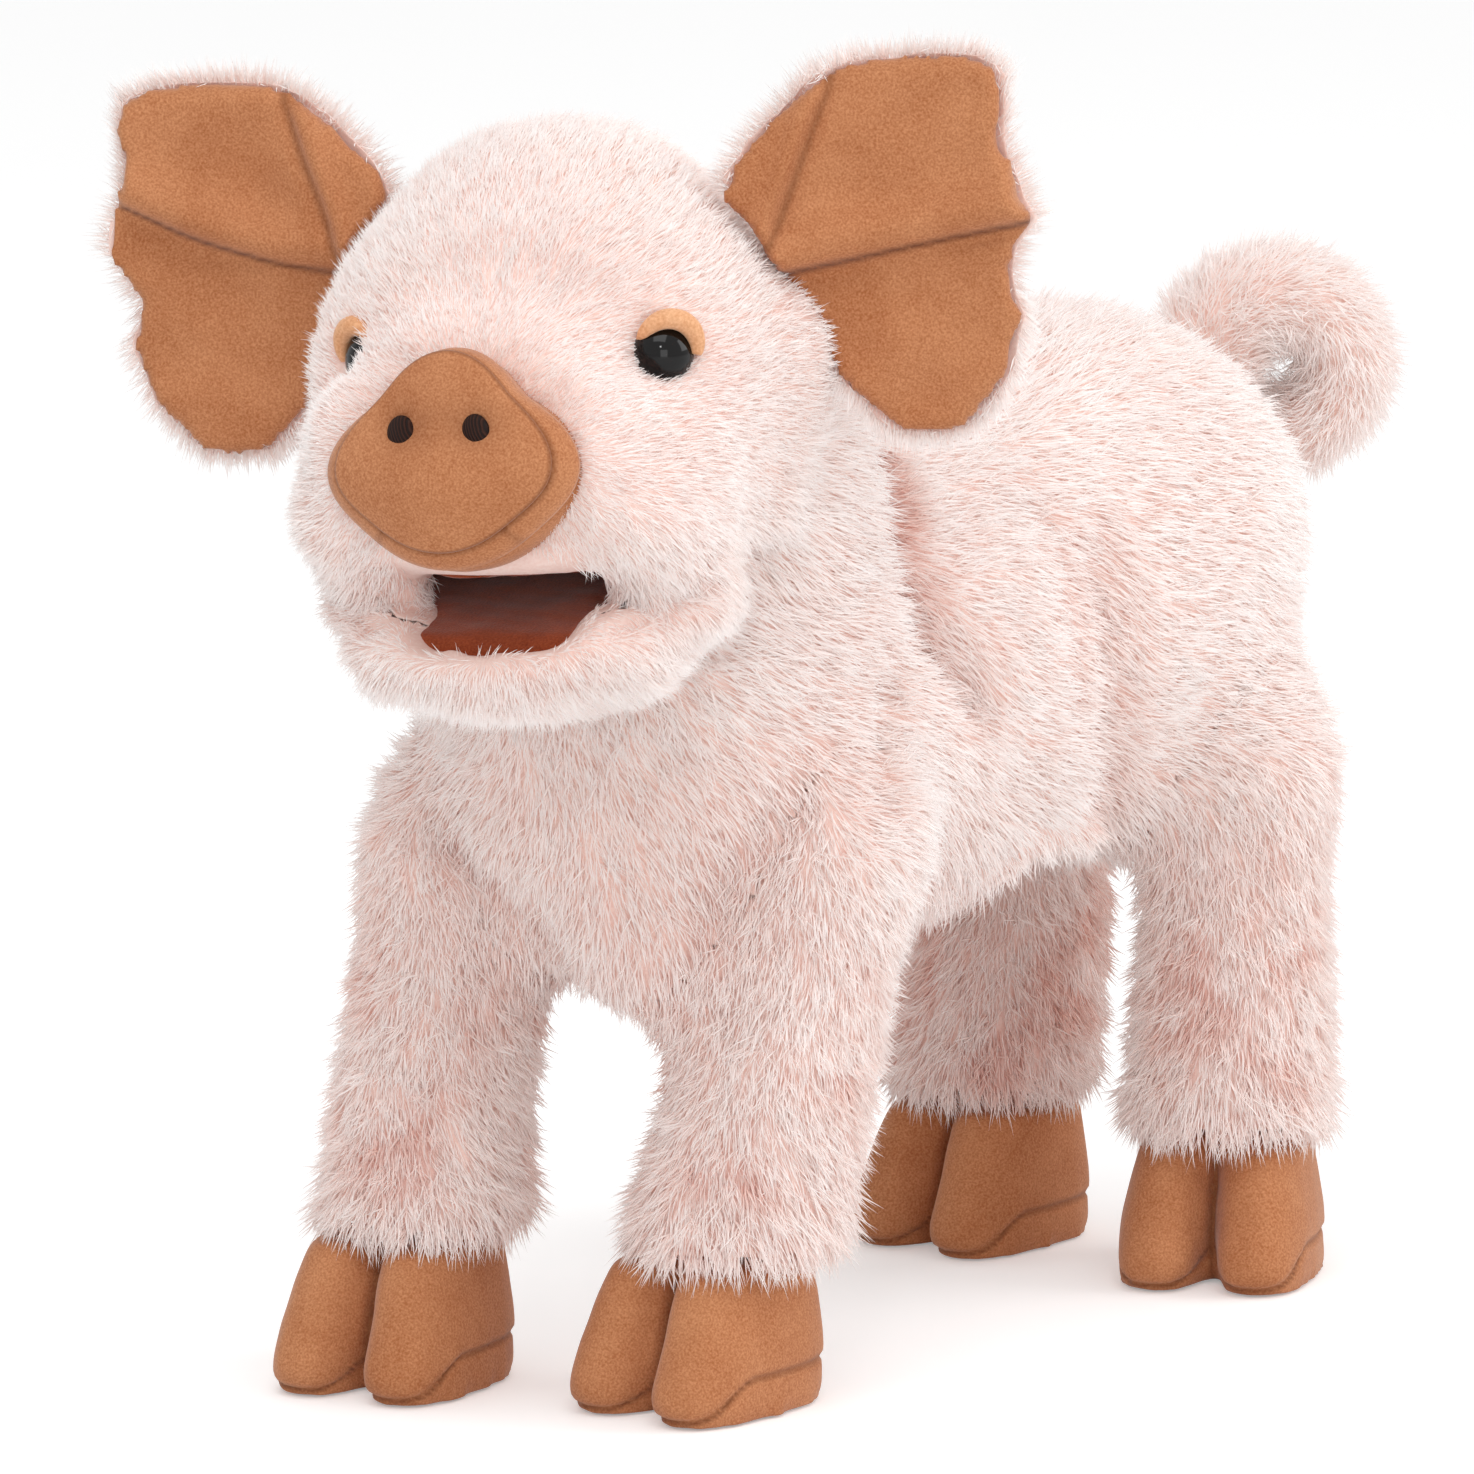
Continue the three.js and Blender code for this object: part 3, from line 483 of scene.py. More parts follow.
# scatters strands over a skin: denser by its pile, longer by its reach, lying along its comb in tufts
def furTree():
    tree = bpy.data.node_groups.new("furTufts", "GeometryNodeTree")
    tree.interface.new_socket("Geometry", in_out="INPUT", socket_type="NodeSocketGeometry")
    tree.interface.new_socket("Geometry", in_out="OUTPUT", socket_type="NodeSocketGeometry")
    for label in ("Density", "Length", "Width", "Lean", "Scatter", "Tuft", "Tuft Scale"):
        tree.interface.new_socket(label, in_out="INPUT", socket_type="NodeSocketFloat")
    tree.interface.new_socket("Seed", in_out="INPUT", socket_type="NodeSocketInt")
    link = tree.links.new
    given = addNode(tree, "NodeGroupInput")
    result = addNode(tree, "NodeGroupOutput")

    def named(name, kind="FLOAT"):
        field = addNode(tree, "GeometryNodeInputNamedAttribute", data_type=kind)
        field.inputs["Name"].default_value = name
        return next(socket for socket in field.outputs if socket.enabled)

    def sums(operation, first, second):
        node = addNode(tree, "ShaderNodeMath", operation=operation)
        for socket, value in zip(node.inputs, (first, second)):
            if hasattr(value, "node"):
                link(value, socket)
            else:
                socket.default_value = value
        return node.outputs[0]

    def vectors(operation, first, second):
        node = addNode(tree, "ShaderNodeVectorMath", operation=operation)
        link(first, node.inputs[0])
        if operation == "SCALE":
            if hasattr(second, "node"):
                link(second, node.inputs["Scale"])
            else:
                node.inputs["Scale"].default_value = second
        elif second is not None:
            link(second, node.inputs[1])
        return node.outputs[0]

    def chance(low, high, seed, kind="FLOAT"):
        node = addNode(tree, "FunctionNodeRandomValue", data_type=kind)
        first, second = (0, 1) if kind == "FLOAT_VECTOR" else (2, 3)
        node.inputs[first].default_value = low
        node.inputs[second].default_value = high
        link(sums("ADD", given.outputs["Seed"], seed), node.inputs["Seed"])
        return node.outputs[0 if kind == "FLOAT_VECTOR" else 1]

    scatter = addNode(tree, "GeometryNodeDistributePointsOnFaces", distribute_method="RANDOM")
    link(given.outputs["Geometry"], scatter.inputs["Mesh"])
    link(sums("MULTIPLY", given.outputs["Density"], named("pile")), scatter.inputs["Density"])
    link(given.outputs["Seed"], scatter.inputs["Seed"])
    place = addNode(tree, "GeometryNodeInputPosition")
    cells = addNode(tree, "ShaderNodeTexVoronoi")
    link(given.outputs["Tuft Scale"], cells.inputs["Scale"])
    link(place.outputs[0], cells.inputs["Vector"])
    spread = addNode(tree, "ShaderNodeSeparateXYZ")
    link(cells.outputs["Color"], spread.inputs[0])
    mixed = sums("ADD", chance(*strandVary["tone"], 3), sums("MULTIPLY", spread.outputs[0], strandVary["tuftTone"]))
    # pinker where blush and painted shade are marked on the skin
    tone = sums("SUBTRACT", mixed, sums("MULTIPLY", named("blush"), strandVary["blushTone"]))
    toned = addNode(tree, "GeometryNodeStoreNamedAttribute", data_type="FLOAT", domain="POINT")
    toned.inputs["Name"].default_value = "tone"
    link(scatter.outputs["Points"], toned.inputs["Geometry"])
    link(tone, toned.inputs["Value"])
    comb = named("comb", "FLOAT_VECTOR")
    lean = given.outputs["Lean"]
    upright = vectors("SCALE", scatter.outputs["Normal"], sums("SUBTRACT", 1.0, lean))
    lying = vectors("SCALE", comb, lean)
    inwards = vectors("SCALE", vectors("SUBTRACT", cells.outputs["Position"], place.outputs[0]),
                      sums("DIVIDE", given.outputs["Tuft"], given.outputs["Length"]))
    astray = vectors("SCALE", chance((-1, -1, -1), (1, 1, 1), 1, "FLOAT_VECTOR"), given.outputs["Scatter"])
    way = vectors("ADD", vectors("ADD", upright, lying), vectors("ADD", inwards, astray))
    stand = addNode(tree, "FunctionNodeAlignRotationToVector", axis="Z")
    link(way, stand.inputs["Vector"])
    roll = addNode(tree, "FunctionNodeAlignRotationToVector", axis="X", pivot_axis="Z")
    link(stand.outputs[0], roll.inputs["Rotation"])
    link(comb, roll.inputs["Vector"])
    size = addNode(tree, "ShaderNodeCombineXYZ")
    width = sums("MULTIPLY", given.outputs["Width"], chance(*strandVary["width"], 5))
    link(width, size.inputs[0])
    link(width, size.inputs[1])
    reach = sums("MULTIPLY", given.outputs["Length"], named("reach"))
    link(sums("MULTIPLY", reach, chance(*strandVary["length"], 7)), size.inputs[2])
    source = addNode(tree, "GeometryNodeObjectInfo")
    source.inputs["Object"].default_value = strand
    plant = addNode(tree, "GeometryNodeInstanceOnPoints")
    link(toned.outputs["Geometry"], plant.inputs["Points"])
    link(source.outputs["Geometry"], plant.inputs["Instance"])
    link(roll.outputs[0], plant.inputs["Rotation"])
    link(size.outputs[0], plant.inputs["Scale"])
    grown = addNode(tree, "GeometryNodeRealizeInstances")
    link(plant.outputs[0], grown.inputs[0])
    chart = addNode(tree, "ShaderNodeCombineXYZ")
    link(sums("ADD", named("tone"), sums("MULTIPLY", named("across"), 0.01)), chart.inputs[0])
    link(named("along"), chart.inputs[1])
    mapped = addNode(tree, "GeometryNodeStoreNamedAttribute", data_type="FLOAT2", domain="CORNER")
    mapped.inputs["Name"].default_value = "OFBake"
    link(grown.outputs[0], mapped.inputs["Geometry"])
    link(chart.outputs[0], mapped.inputs["Value"])
    link(mapped.outputs[0], result.inputs[0])
    return tree


fur = furTree()
furSockets = {item.name: item.identifier for item in fur.interface.items_tree if item.in_out == "INPUT"}
furCount = 0


# comb, pile, reach, and blush with painted shade are painted on a skin, then its panels grow their strands
def growFur(skin, mount, coat, comb, pile, reach=None, blush=None, panels=None):
    global furCount
    places = points(skin)
    flow = []
    for place, normal in places:
        way = comb(place, normal)
        way = way - normal * way.dot(normal)
        flow.extend(way.normalized() if way.length > 1e-6 else normal.orthogonal().normalized())
    layer = skin.data.attributes.new("comb", "FLOAT_VECTOR", "POINT")
    layer.data.foreach_set("vector", flow)
    paint(skin, "reach", [reach(*spot) if reach else 1.0 for spot in places])
    paint(skin, "blush", [blush(*spot) if blush else 0.0 for spot in places])
    cover = [pile(*spot) for spot in places]
    for panel, share in (panels or {"": lambda place, normal: 1.0}).items():
        grown = bpy.data.objects.new(skin.name.replace("Skin", "Fur") + panel, skin.data.copy())
        scene.collection.objects.link(grown)
        paint(grown, "pile", [own * share(*spot) for own, spot in zip(cover, places)])
        growth = grown.modifiers.new("fur", "NODES")
        growth.node_group = fur
        for label, value in (("Density", coat["density"] * 1e6), ("Length", coat["length"] * mm),
                             ("Width", coat["width"] * mm / 2), ("Lean", coat["lean"]), ("Scatter", coat["scatter"]),
                             ("Tuft", coat["tuft"]), ("Tuft Scale", 1 / (coat["tuftSize"] * mm)),
                             ("Seed", furCount * 17 + 5)):
            growth[furSockets[label]] = value
        settle(grown)
        for name in ("comb", "pile", "reach", "blush", "tone", "along", "across"):
            if name in grown.data.attributes:
                grown.data.attributes.remove(grown.data.attributes[name])
        grown.data.uv_layers["OFBake"].active = True
        grown.data.materials.clear()
        grown.data.materials.append(plush)
        mount(grown)
        furCount += 1
        print(grown.name, len(grown.data.polygons), "faces")


def nodeTree(*nodeNames):
    bm = nodeCopy(*nodeNames)
    tree = BVHTree.FromBMesh(bm)
    bm.free()
    return tree


# distance from a point to the nearest of some nodes
def nearTo(*nodeNames):
    tree = nodeTree(*nodeNames)
    return lambda place: tree.find_nearest(place)[3]


# a wall is covered where a lining lies in front of it and within reach, in mm
covering = {"facing": (0.1, 0.5), "reach": (9, 6.5)}


# 1 on the walls that a lining covers, 0 outside
def behind(*nodeNames):
    tree = nodeTree(*nodeNames)

    def covered(place, normal, back):
        spot, _, _, distance = tree.find_nearest(place - normal * back * mm)
        way = spot - place + normal * back * mm
        return ease(*covering["facing"], way.normalized().dot(normal)) * easeMm(covering["reach"], distance)

    return covered


# one padded skin over some nodes and fillers: swollen until their gaps meet, rounded off, drawn back in and stuffed
def skinOver(name, nodeNames, build, covered=None, fillers=(), depth=None):
    bm = nodeCopy(*nodeNames)
    bm.normal_update()
    swell = build.get("swell", 0)
    for vert in bm.verts:
        vert.co += vert.normal * swell * mm
    for place, radii in fillers:
        grown = Matrix.Diagonal((*[(size + swell + build["sink"]) * mm for size in radii], 1))
        bmesh.ops.create_uvsphere(bm, u_segments=28, v_segments=16, radius=1, matrix=place @ grown)
    obj = newPiece(name, bm, backing)
    voxels(obj, build["voxel"])
    soften(obj, build["soften"])

    def drawIn(place, normal):
        held = covered(place, normal, swell + liningDepth) if covered else 0
        return -normal * (swell + build["sink"] * (1 - held) * (depth(place) if depth else 1)) * mm

    sculpt(obj, drawIn)
    soften(obj, 1)
    stuff(obj, build["pressure"], build["cap"], covered)
    soften(obj, 1)
    refine(obj)
    return obj


# the faces of a skin that belong to one part, as a piece of its own
def partOf(skin, name, belongs):
    bm = bmesh.new()
    bm.from_mesh(skin.data)
    bmesh.ops.delete(bm, geom=[face for face in bm.faces if not belongs[face.index]], context="FACES")
    return newPiece(name, bm, backing)


def closeCuts(obj):
    bm = bmesh.new()
    bm.from_mesh(obj.data)
    lids = bmesh.ops.holes_fill(bm, edges=[edge for edge in bm.edges if edge.is_boundary], sides=0)["faces"]
    bmesh.ops.triangulate(bm, faces=lids)
    bm.to_mesh(obj.data)
    bm.free()


def declare(nodeNames):
    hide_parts(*nodeNames)


# torso and legs: one plush skin, cut where the legs swing
body = {"voxel": 5, "soften": 7, "swell": 3, "sink": 4, "pressure": 4, "cap": 3, "bendFrom": 10, "bendTo": 65,
        "lumps": 1.4, "lumpScale": 28, "chest": (8, -76, 114), "chestSize": (25, 20, 22),
        "legSpan": (75, 115), "hemSpan": (8, 30), "neckSpan": (57, 75)}
bodyCoat = {"density": 1.42, "length": 8, "width": 0.29, "lean": 0.66, "scatter": 0.36, "tuft": 0.5, "tuftSize": 6,
            "back": (0, 1, -0.55), "down": (0, 0.05, -1), "downSpan": (140, 95), "swirl": 0.6, "swirlScale": 26,
            "hemLonger": 0.35, "hemSpan": (20, 6), "neckLonger": 0.3, "neckSpan": (66, 56)}
legCoat = {"density": 2.0, "length": 8, "width": 0.27, "lean": 0.62, "scatter": 0.38, "tuft": 0.6, "tuftSize": 6,
           "cuffLonger": 0.35, "cuffSpan": (58, 42), "soleFacing": (-0.9, -0.7)}
# pinker pile as painted shade on the chest, low down the body and legs and in the folds, and pinker in random patches
bodyTint = {"chest": 0.4, "chestFront": (-70, -90), "chestTop": (175, 140), "low": 0.65, "lowSpan": (150, 70),
            "crease": 0.9, "creaseDepth": 5, "patch": 0.25, "patchSpan": (0.0, 0.5), "patchScale": 24}
# lower legs: pinker random tufts, paler overall, and painted shade on the far hind leg
legTint = {"span": (130, 80), "tuft": 0.55, "tuftSpan": (0.0, 0.4), "tuftScale": 60, "pale": 0.2, "farLeg": 0.2}
# where the torso's pile is parted into four pieces, in mm along x and y
torsoSeams = {"Left": (-9, -3), "Right": (-3, -9), "Front": (33, 27), "Rear": (27, 33)}
# soft folds in the flank, shoulder and chest, in mm
folds = {"shoulder": {"line": ((33, -28, 211), (44, -33, 192), (49, -26, 175), (50, -8, 156)), "depth": 8, "width": 8},
         "collar": {"line": ((51, -43, 164), (54, -51, 151), (63, -59, 140)), "depth": 5, "width": 6},
         "flank": {"line": ((49, 40, 183), (51, 45, 161), (46, 50, 139), (34, 58, 122)), "depth": 6, "width": 9},
         "rib": {"line": ((44, 21, 199), (50, 27, 175), (49, 31, 151)), "depth": 2.5, "width": 7},
         "chestRight": {"line": ((-34, -97, 125), (-20, -96, 114), (-11, -91, 104)), "depth": 3, "width": 7},
         "chestLeft": {"line": ((45, -74, 142), (37, -85, 127), (21, -80, 104)), "depth": 3, "width": 7},
         "farShoulder": {"line": ((-48, -30, 200), (-60, -26, 178), (-62, -10, 158)), "depth": 5, "width": 9},
         "farFlank": {"line": ((-61, 38, 184), (-63, 44, 162), (-58, 50, 139)), "depth": 5, "width": 10}}


def foldDepth(place, fold):
    spot = place / mm
    line = [Vector(point) for point in fold["line"]]
    away = []
    for first, last in zip(line, line[1:]):
        onLine, share = geometry.intersect_point_line(spot, first, last)
        end = first if share < 0 else last
        away.append((spot - (onLine if 0 <= share <= 1 else end)).length)
    return bump(min(away), fold["width"])


def creases(place, lines):
    return sum(fold["depth"] * foldDepth(place, fold) for fold in lines)


torsoNodes = ("back_panel", "belly_panel", "neck_collar", "torso_stuffing")
legNodes = {leg: (leg + "_leg_skin", leg + "_leg_stuffing") for leg in legNames}
sleeveWalls = behind("sleeve_wrist", "sleeve_palm", "neck_lining")
toHem = nearTo("sleeve_hem")


# share of the sink: less down the legs and at the hem, and out again around the neck
def bodyDepth(place):
    legs = 0.15 + 0.85 * easeMm(body["legSpan"], place.z)
    neck = 1.25 * easeMm(body["neckSpan"], (place - neckAt).length) - 0.25
    return legs * easeMm(body["hemSpan"], toHem(place)) * neck


def bodyFolds(place, normal):
    lumps = body["lumps"] * noise.noise(place * body["lumpScale"])
    return normal * mm * (lumps - creases(place, folds.values()))


bodySkin = skinOver("bodySkin", torsoNodes + sum(legNodes.values(), ()), body, sleeveWalls,
                    [(shift(*body["chest"]), body["chestSize"])], bodyDepth)
sculpt(bodySkin, bodyFolds)
toTorso = nearTo(*torsoNodes[:3])
toLeg = {leg: nearTo(leg + "_leg_skin") for leg in legNames}


def bodyPart(face):
    spot = face.center + face.normal * body["sink"] * mm
    leg = min(legNames, key=lambda name: toLeg[name](spot))
    return leg if toLeg[leg](spot) < toTorso(spot) else "torso"


bodyParts = [bodyPart(face) for face in bodySkin.data.polygons]


def bodyComb(place, normal):
    down = easeMm(bodyCoat["downSpan"], place.z)
    flow = Vector(bodyCoat["back"]) * (1 - down) + Vector(bodyCoat["down"]) * down
    return flow + noise.noise_vector(place * bodyCoat["swirlScale"]) * bodyCoat["swirl"]


def bodyPile(place, normal):
    return 1 - sleeveWalls(place, normal, liningDepth)


def bodyReach(place, normal):
    hem = bodyCoat["hemLonger"] * easeMm(bodyCoat["hemSpan"], toHem(place))
    return 1 + hem + bodyCoat["neckLonger"] * easeMm(bodyCoat["neckSpan"], (place - neckAt).length)


# painted shade: pinker on the chest, low down and in the folds; the random patches are the pile's own tone
def bodyBlushAndShade(place, normal):
    chest = bodyTint["chest"] * easeMm(bodyTint["chestFront"], place.y) * easeMm(bodyTint["chestTop"], place.z)
    low = bodyTint["low"] * easeMm(bodyTint["lowSpan"], place.z)
    crease = creases(place, folds.values()) / bodyTint["creaseDepth"]
    patches = bodyTint["patch"] * ease(*bodyTint["patchSpan"], noise.noise(place * bodyTint["patchScale"]))
    return max(chest, low) + bodyTint["crease"] * crease + patches


def torsoPanel(end, side):
    return lambda place, normal: easeMm(torsoSeams[side], place.x) * easeMm(torsoSeams[end], place.y)


torsoSkin = partOf(bodySkin, "torsoSkin", [part == "torso" for part in bodyParts])
growFur(torsoSkin, lambda obj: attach(obj, "torso"), bodyCoat, bodyComb, bodyPile, bodyReach, bodyBlushAndShade,
        panels={end + side: torsoPanel(end, side) for side in ("Left", "Right") for end in ("Front", "Rear")})
closeCuts(torsoSkin)
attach(torsoSkin, "torso")
declare(torsoNodes)
for leg in legNames:
    def swing(obj):
        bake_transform(obj)

    def legPile(place, normal):
        return ease(*legCoat["soleFacing"], normal.z)

    # random pinker tufts and painted shade on the far hind leg, over the body's blush and painted shade
    def legBlushAndShade(place, normal):
        speckle = ease(*legTint["tuftSpan"], noise.noise(place * legTint["tuftScale"]))
        tufts = legTint["tuft"] * speckle - legTint["pale"]
        farShade = legTint["farLeg"] if leg == "hind_right" else 0
        return bodyBlushAndShade(place, normal) + easeMm(legTint["span"], place.z) * (tufts + farShade)

    def legReach(place, normal):
        return 1 + legCoat["cuffLonger"] * easeMm(legCoat["cuffSpan"], place.z)

    legSkin = partOf(bodySkin, "legSkin." + leg, [part == leg for part in bodyParts])
    growFur(legSkin, swing, legCoat, bodyComb, legPile, legReach, legBlushAndShade)
    closeCuts(legSkin)
    swing(legSkin)
    declare(legNodes[leg])
bpy.data.objects.remove(bodySkin)
print("torso and legs done")

# head and jaw: one plush skin with full cheeks, cut where the jaw drops
face = {"voxel": 3.6, "soften": 4, "swell": 1.2, "sink": 2.5, "pressure": 4, "cap": 2, "bendFrom": -34, "bendTo": -50,
        "bendY": -40, "crown": ((0, 2, 34), (38, 42, 29)), "neckSpan": (56, 74), "lip": 0.3, "lipCorner": 2.2,
        "lipFull": 0.7, "lipUnder": (-57, -48), "lipOver": (-38, -42), "lipFront": (-32, -42), "cornerX": (14, 26),
        "slim": 0.09, "slimX": (28, 46), "slimY": (25, -5), "slimZ": (16, -12)}
# padding on both sides of the face: place and size in mm
padding = {"cheek": ((36, -44, -17), (17, 19, 14)), "jowl": ((41, -30, -38), (11, 17, 10)),
           "chin": ((26, -41, -50), (13, 17, 9)), "muzzle": ((27, -55, -4), (14, 14, 19)),
           "bridge": ((9, -48, 14), (16, 13, 15)), "earRoot": ((50, 9, 8), (10, 14, 19))}
# the crease under each cheek
cheekFolds = [{"line": [(sign * x, y, z) for x, y, z in ((31, -56, -40), (38, -50, -39), (47, -40, -36))],
               "depth": 4, "width": 4} for sign in sides.values()]
faceCoat = {"density": 3.3, "length": 5, "width": 0.19, "lean": 0.66, "scatter": 0.36, "tuft": 0.4, "tuftSize": 4.5,
            "chinSpan": (-28, -40), "chinWay": (14, 0.35, -0.5), "droop": -0.5, "droopSpan": (10, -30),
            "swirl": 0.45, "swirlScale": 34, "eyeGap": (5, 6.5), "rearSpan": (20, -10), "eyeSpan": (7, 20),
            "snoutSpan": (30, 50), "jowlLonger": 0.35, "jowlSpan": (-5, -40), "napeLonger": 0.8,
            "napeSpan": (70, 56), "tongueSpan": (-2, 9)}
# bare upper lip under the snout, in mm across, down and forward
bareLip = {"across": (25, 20), "top": (-20, -24), "bottom": (-41, -37), "front": (-46, -52)}
# pinker pile: painted shade in the crease under each cheek, and random pinker patches
faceTint = {"crease": 0.2, "patch": 0.15, "patchSpan": (0.0, 0.5), "patchScale": 26}
headSeams = {"middle": (-4, 4), "front": (-6, -14)}
mouthWalls = behind("palate_lining", "jaw_lining", "finger_pocket", "thumb_pocket", "neck_lining")
pads = [(skullAt @ shift(*face["crown"][0]), face["crown"][1])]
for (padX, padY, padZ), padSize in padding.values():
    pads.extend((skullAt @ shift(sign * padX, padY, padZ), padSize) for sign in sides.values())
skullIn = skullAt.inverted()


def lipLine(local):
    return ease(*face["lipUnder"], local.z) * ease(*face["lipOver"], local.z) * ease(*face["lipFront"], local.y)


def faceDepth(place):
    neck = 1.5 * easeMm(face["neckSpan"], (place - neckAt).length) - 0.5
    return neck - face["lipFull"] * lipLine((skullIn @ place) / mm)


# the furry edge of the lower lip stands up around the tongue lining, higher at the corners; the cheeks are drawn in
def lipAndCheeks(place, normal):
    local = (skullIn @ place) / mm
    wide = abs(local.x)
    rise = face["lip"] + face["lipCorner"] * ease(*face["cornerX"], wide)
    slim = face["slim"] * ease(*face["slimZ"], local.z) * ease(*face["slimY"], local.y) * ease(*face["slimX"], wide)
    return skullAt.to_3x3() @ (Vector((-local.x * slim, 0, rise * lipLine(local))) * mm)


def cheekCrease(place):
    return creases(skullIn @ place, cheekFolds)


def cheekFold(place, normal):
    return -normal * mm * cheekCrease(place) * (1 - mouthWalls(place, normal, liningDepth))


faceSkin = skinOver("faceSkin", ("head_skin", "head_stuffing", "jaw_skin"), face, mouthWalls, pads, faceDepth)
sculpt(faceSkin, lipAndCheeks)
sculpt(faceSkin, cheekFold)
toHead = nearTo("head_skin")
toJaw = nearTo("jaw_skin")
toTongue = nearTo("jaw_lining")
onJaw = []
for part in faceSkin.data.polygons:
    spot = part.center + part.normal * face["sink"] * mm
    onJaw.append(toJaw(spot) < toHead(spot))
snoutSpot = snoutAt @ (Vector((0, -14, 0)) * mm)
eyeSpots = {side: eyeAt[side].translation for side in sides}


def nearEye(place):
    return min((place - spot).length for spot in eyeSpots.values())


def faceComb(place, normal):
    local = skullIn @ place
    low = easeMm(faceCoat["chinSpan"], local.z)
    droop = Vector((0, 0, faceCoat["droop"])) * easeMm(faceCoat["droopSpan"], local.z)
    away = (place - snoutSpot).normalized() + droop
    aside, back, down = faceCoat["chinWay"]
    chin = skullAt.to_3x3() @ Vector((local.x * aside, back, down))
    swirl = noise.noise_vector(place * faceCoat["swirlScale"]) * faceCoat["swirl"]
    return away * (1 - low) + chin * low + swirl


def facePile(place, normal):
    local = (skullIn @ place) / mm
    lip = (ease(*bareLip["across"], abs(local.x)) * ease(*bareLip["top"], local.z) * ease(*bareLip["bottom"], local.z)
           * ease(*bareLip["front"], local.y))
    rear = 0.55 + 0.45 * ease(*faceCoat["rearSpan"], local.y)
    outside = (1 - mouthWalls(place, normal, liningDepth)) * easeMm(faceCoat["eyeGap"], nearEye(place))
    return outside * (1 - lip) * rear


def faceBlushAndShade(place, normal):
    patches = ease(*faceTint["patchSpan"], noise.noise(place * faceTint["patchScale"]))
    return faceTint["crease"] * cheekCrease(place) + faceTint["patch"] * patches


def faceReach(place, normal):
    eyes = 0.7 + 0.3 * easeMm(faceCoat["eyeSpan"], nearEye(place))
    muzzle = 0.7 + 0.3 * easeMm(faceCoat["snoutSpan"], (place - snoutSpot).length)
    jowl = 1 + faceCoat["jowlLonger"] * easeMm(faceCoat["jowlSpan"], (skullIn @ place).z)
    nape = 1 + faceCoat["napeLonger"] * easeMm(faceCoat["napeSpan"], (place - neckAt).length)
    return eyes * muzzle * jowl * nape * easeMm(faceCoat["tongueSpan"], toTongue(place))


def leftHalf(place):
    return easeMm(headSeams["middle"], (skullIn @ place).x)


def nearFront(place):
    return easeMm(headSeams["front"], (skullIn @ place).y)


headSkin = partOf(faceSkin, "headSkin", [not jaw for jaw in onJaw])
growFur(headSkin, lambda obj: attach(obj, "head"), faceCoat, faceComb, facePile, faceReach, faceBlushAndShade,
        panels={"Left": lambda place, normal: leftHalf(place) * nearFront(place),
                "Right": lambda place, normal: (1 - leftHalf(place)) * nearFront(place),
                "Back": lambda place, normal: 1 - nearFront(place)})
closeCuts(headSkin)
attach(headSkin, "head")
declare(("head_skin", "head_stuffing"))
jawSkin = partOf(faceSkin, "jawSkin", onJaw)


def drop(obj):
    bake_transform(obj)


growFur(jawSkin, drop, faceCoat, faceComb, facePile, faceReach, faceBlushAndShade)
closeCuts(jawSkin)
drop(jawSkin)
declare(("jaw_skin",))
bpy.data.objects.remove(faceSkin)
print("head and jaw done")

# belly hem: pile on its outside
hemSkin = remeshed("hemSkin", ("sleeve_hem",), 2.5, backing)
hemMiddle = sum((vert.co for vert in hemSkin.data.vertices), Vector()) / len(hemSkin.data.vertices)
growFur(hemSkin, lambda obj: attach(obj, "torso"), bodyCoat, bodyComb,
        lambda place, normal: 0.7 * ease(-0.1, 0.3, (place - hemMiddle).normalized().dot(normal)), blush=bodyBlushAndShade)
bpy.data.objects.remove(hemSkin)
print("hem done")

# neck: pile on the outside of the band that joins head and torso
neckSkin = remeshed("neckSkin", ("neck_lining",), 2.5, backing)
growFur(neckSkin, lambda obj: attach(obj, "neck"), bodyCoat, bodyComb,
        lambda place, normal: 0.6 * ease(0.2, 0.5, (place - neckAt).normalized().dot(normal)))
bpy.data.objects.remove(neckSkin)
print("neck done")

# tail: a stuffed curl
tail = {"voxel": 2.5, "soften": 3, "sink": -1.2, "pressure": 4, "cap": 1.5, "facing": 38, "curlX": 17, "outward": 4}
tailCoat = {"density": 2.0, "length": 8, "width": 0.25, "lean": 0.5, "scatter": 0.45, "tuft": 0.6, "tuftSize": 5,
            "swirl": 0.3, "swirlScale": 40}
tailSkin = skinOver("tailSkin", ("tail_skin",), tail)
tailAt = Matrix.Translation(pivot("tail_wag")) @ turn(tail["facing"], "Z")
tailIn = tailAt.inverted()


def tailComb(place, normal):
    local = tailIn @ place
    spoke = Vector((local.x - tail["curlX"] * mm, 0, local.z))
    around = tailAt.to_3x3() @ Vector((spoke.z, tail["outward"] * mm, -spoke.x)).normalized()
    return around + noise.noise_vector(place * tailCoat["swirlScale"]) * tailCoat["swirl"]


growFur(tailSkin, lambda obj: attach(obj, "tail"), tailCoat, tailComb, lambda place, normal: 1.0)
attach(tailSkin, "tail")
declare(("tail_skin",))
print("tail done")

# ears: plush back and rim, suede lining with one pleat
ear = {"voxel": 2.5, "soften": 3, "sink": 1.8, "pressure": 3, "cap": 1, "middle": 33, "recess": 1.6,
       "recessFacing": (0.2, -0.3), "recessSpan": (5, 3)}
earCoat = {"density": 2.4, "length": 7, "width": 0.24, "lean": 0.62, "scatter": 0.3, "tuft": 0.2, "tuftSize": 5,
           "backward": 10, "upright": 0.8, "swirl": 0.2, "swirlScale": 35, "border": 1.2, "borderFacing": (0.3, -0.3),
           "liningFrom": 2, "liningReach": 9, "rimFacing": (-0.5, 0.2)}
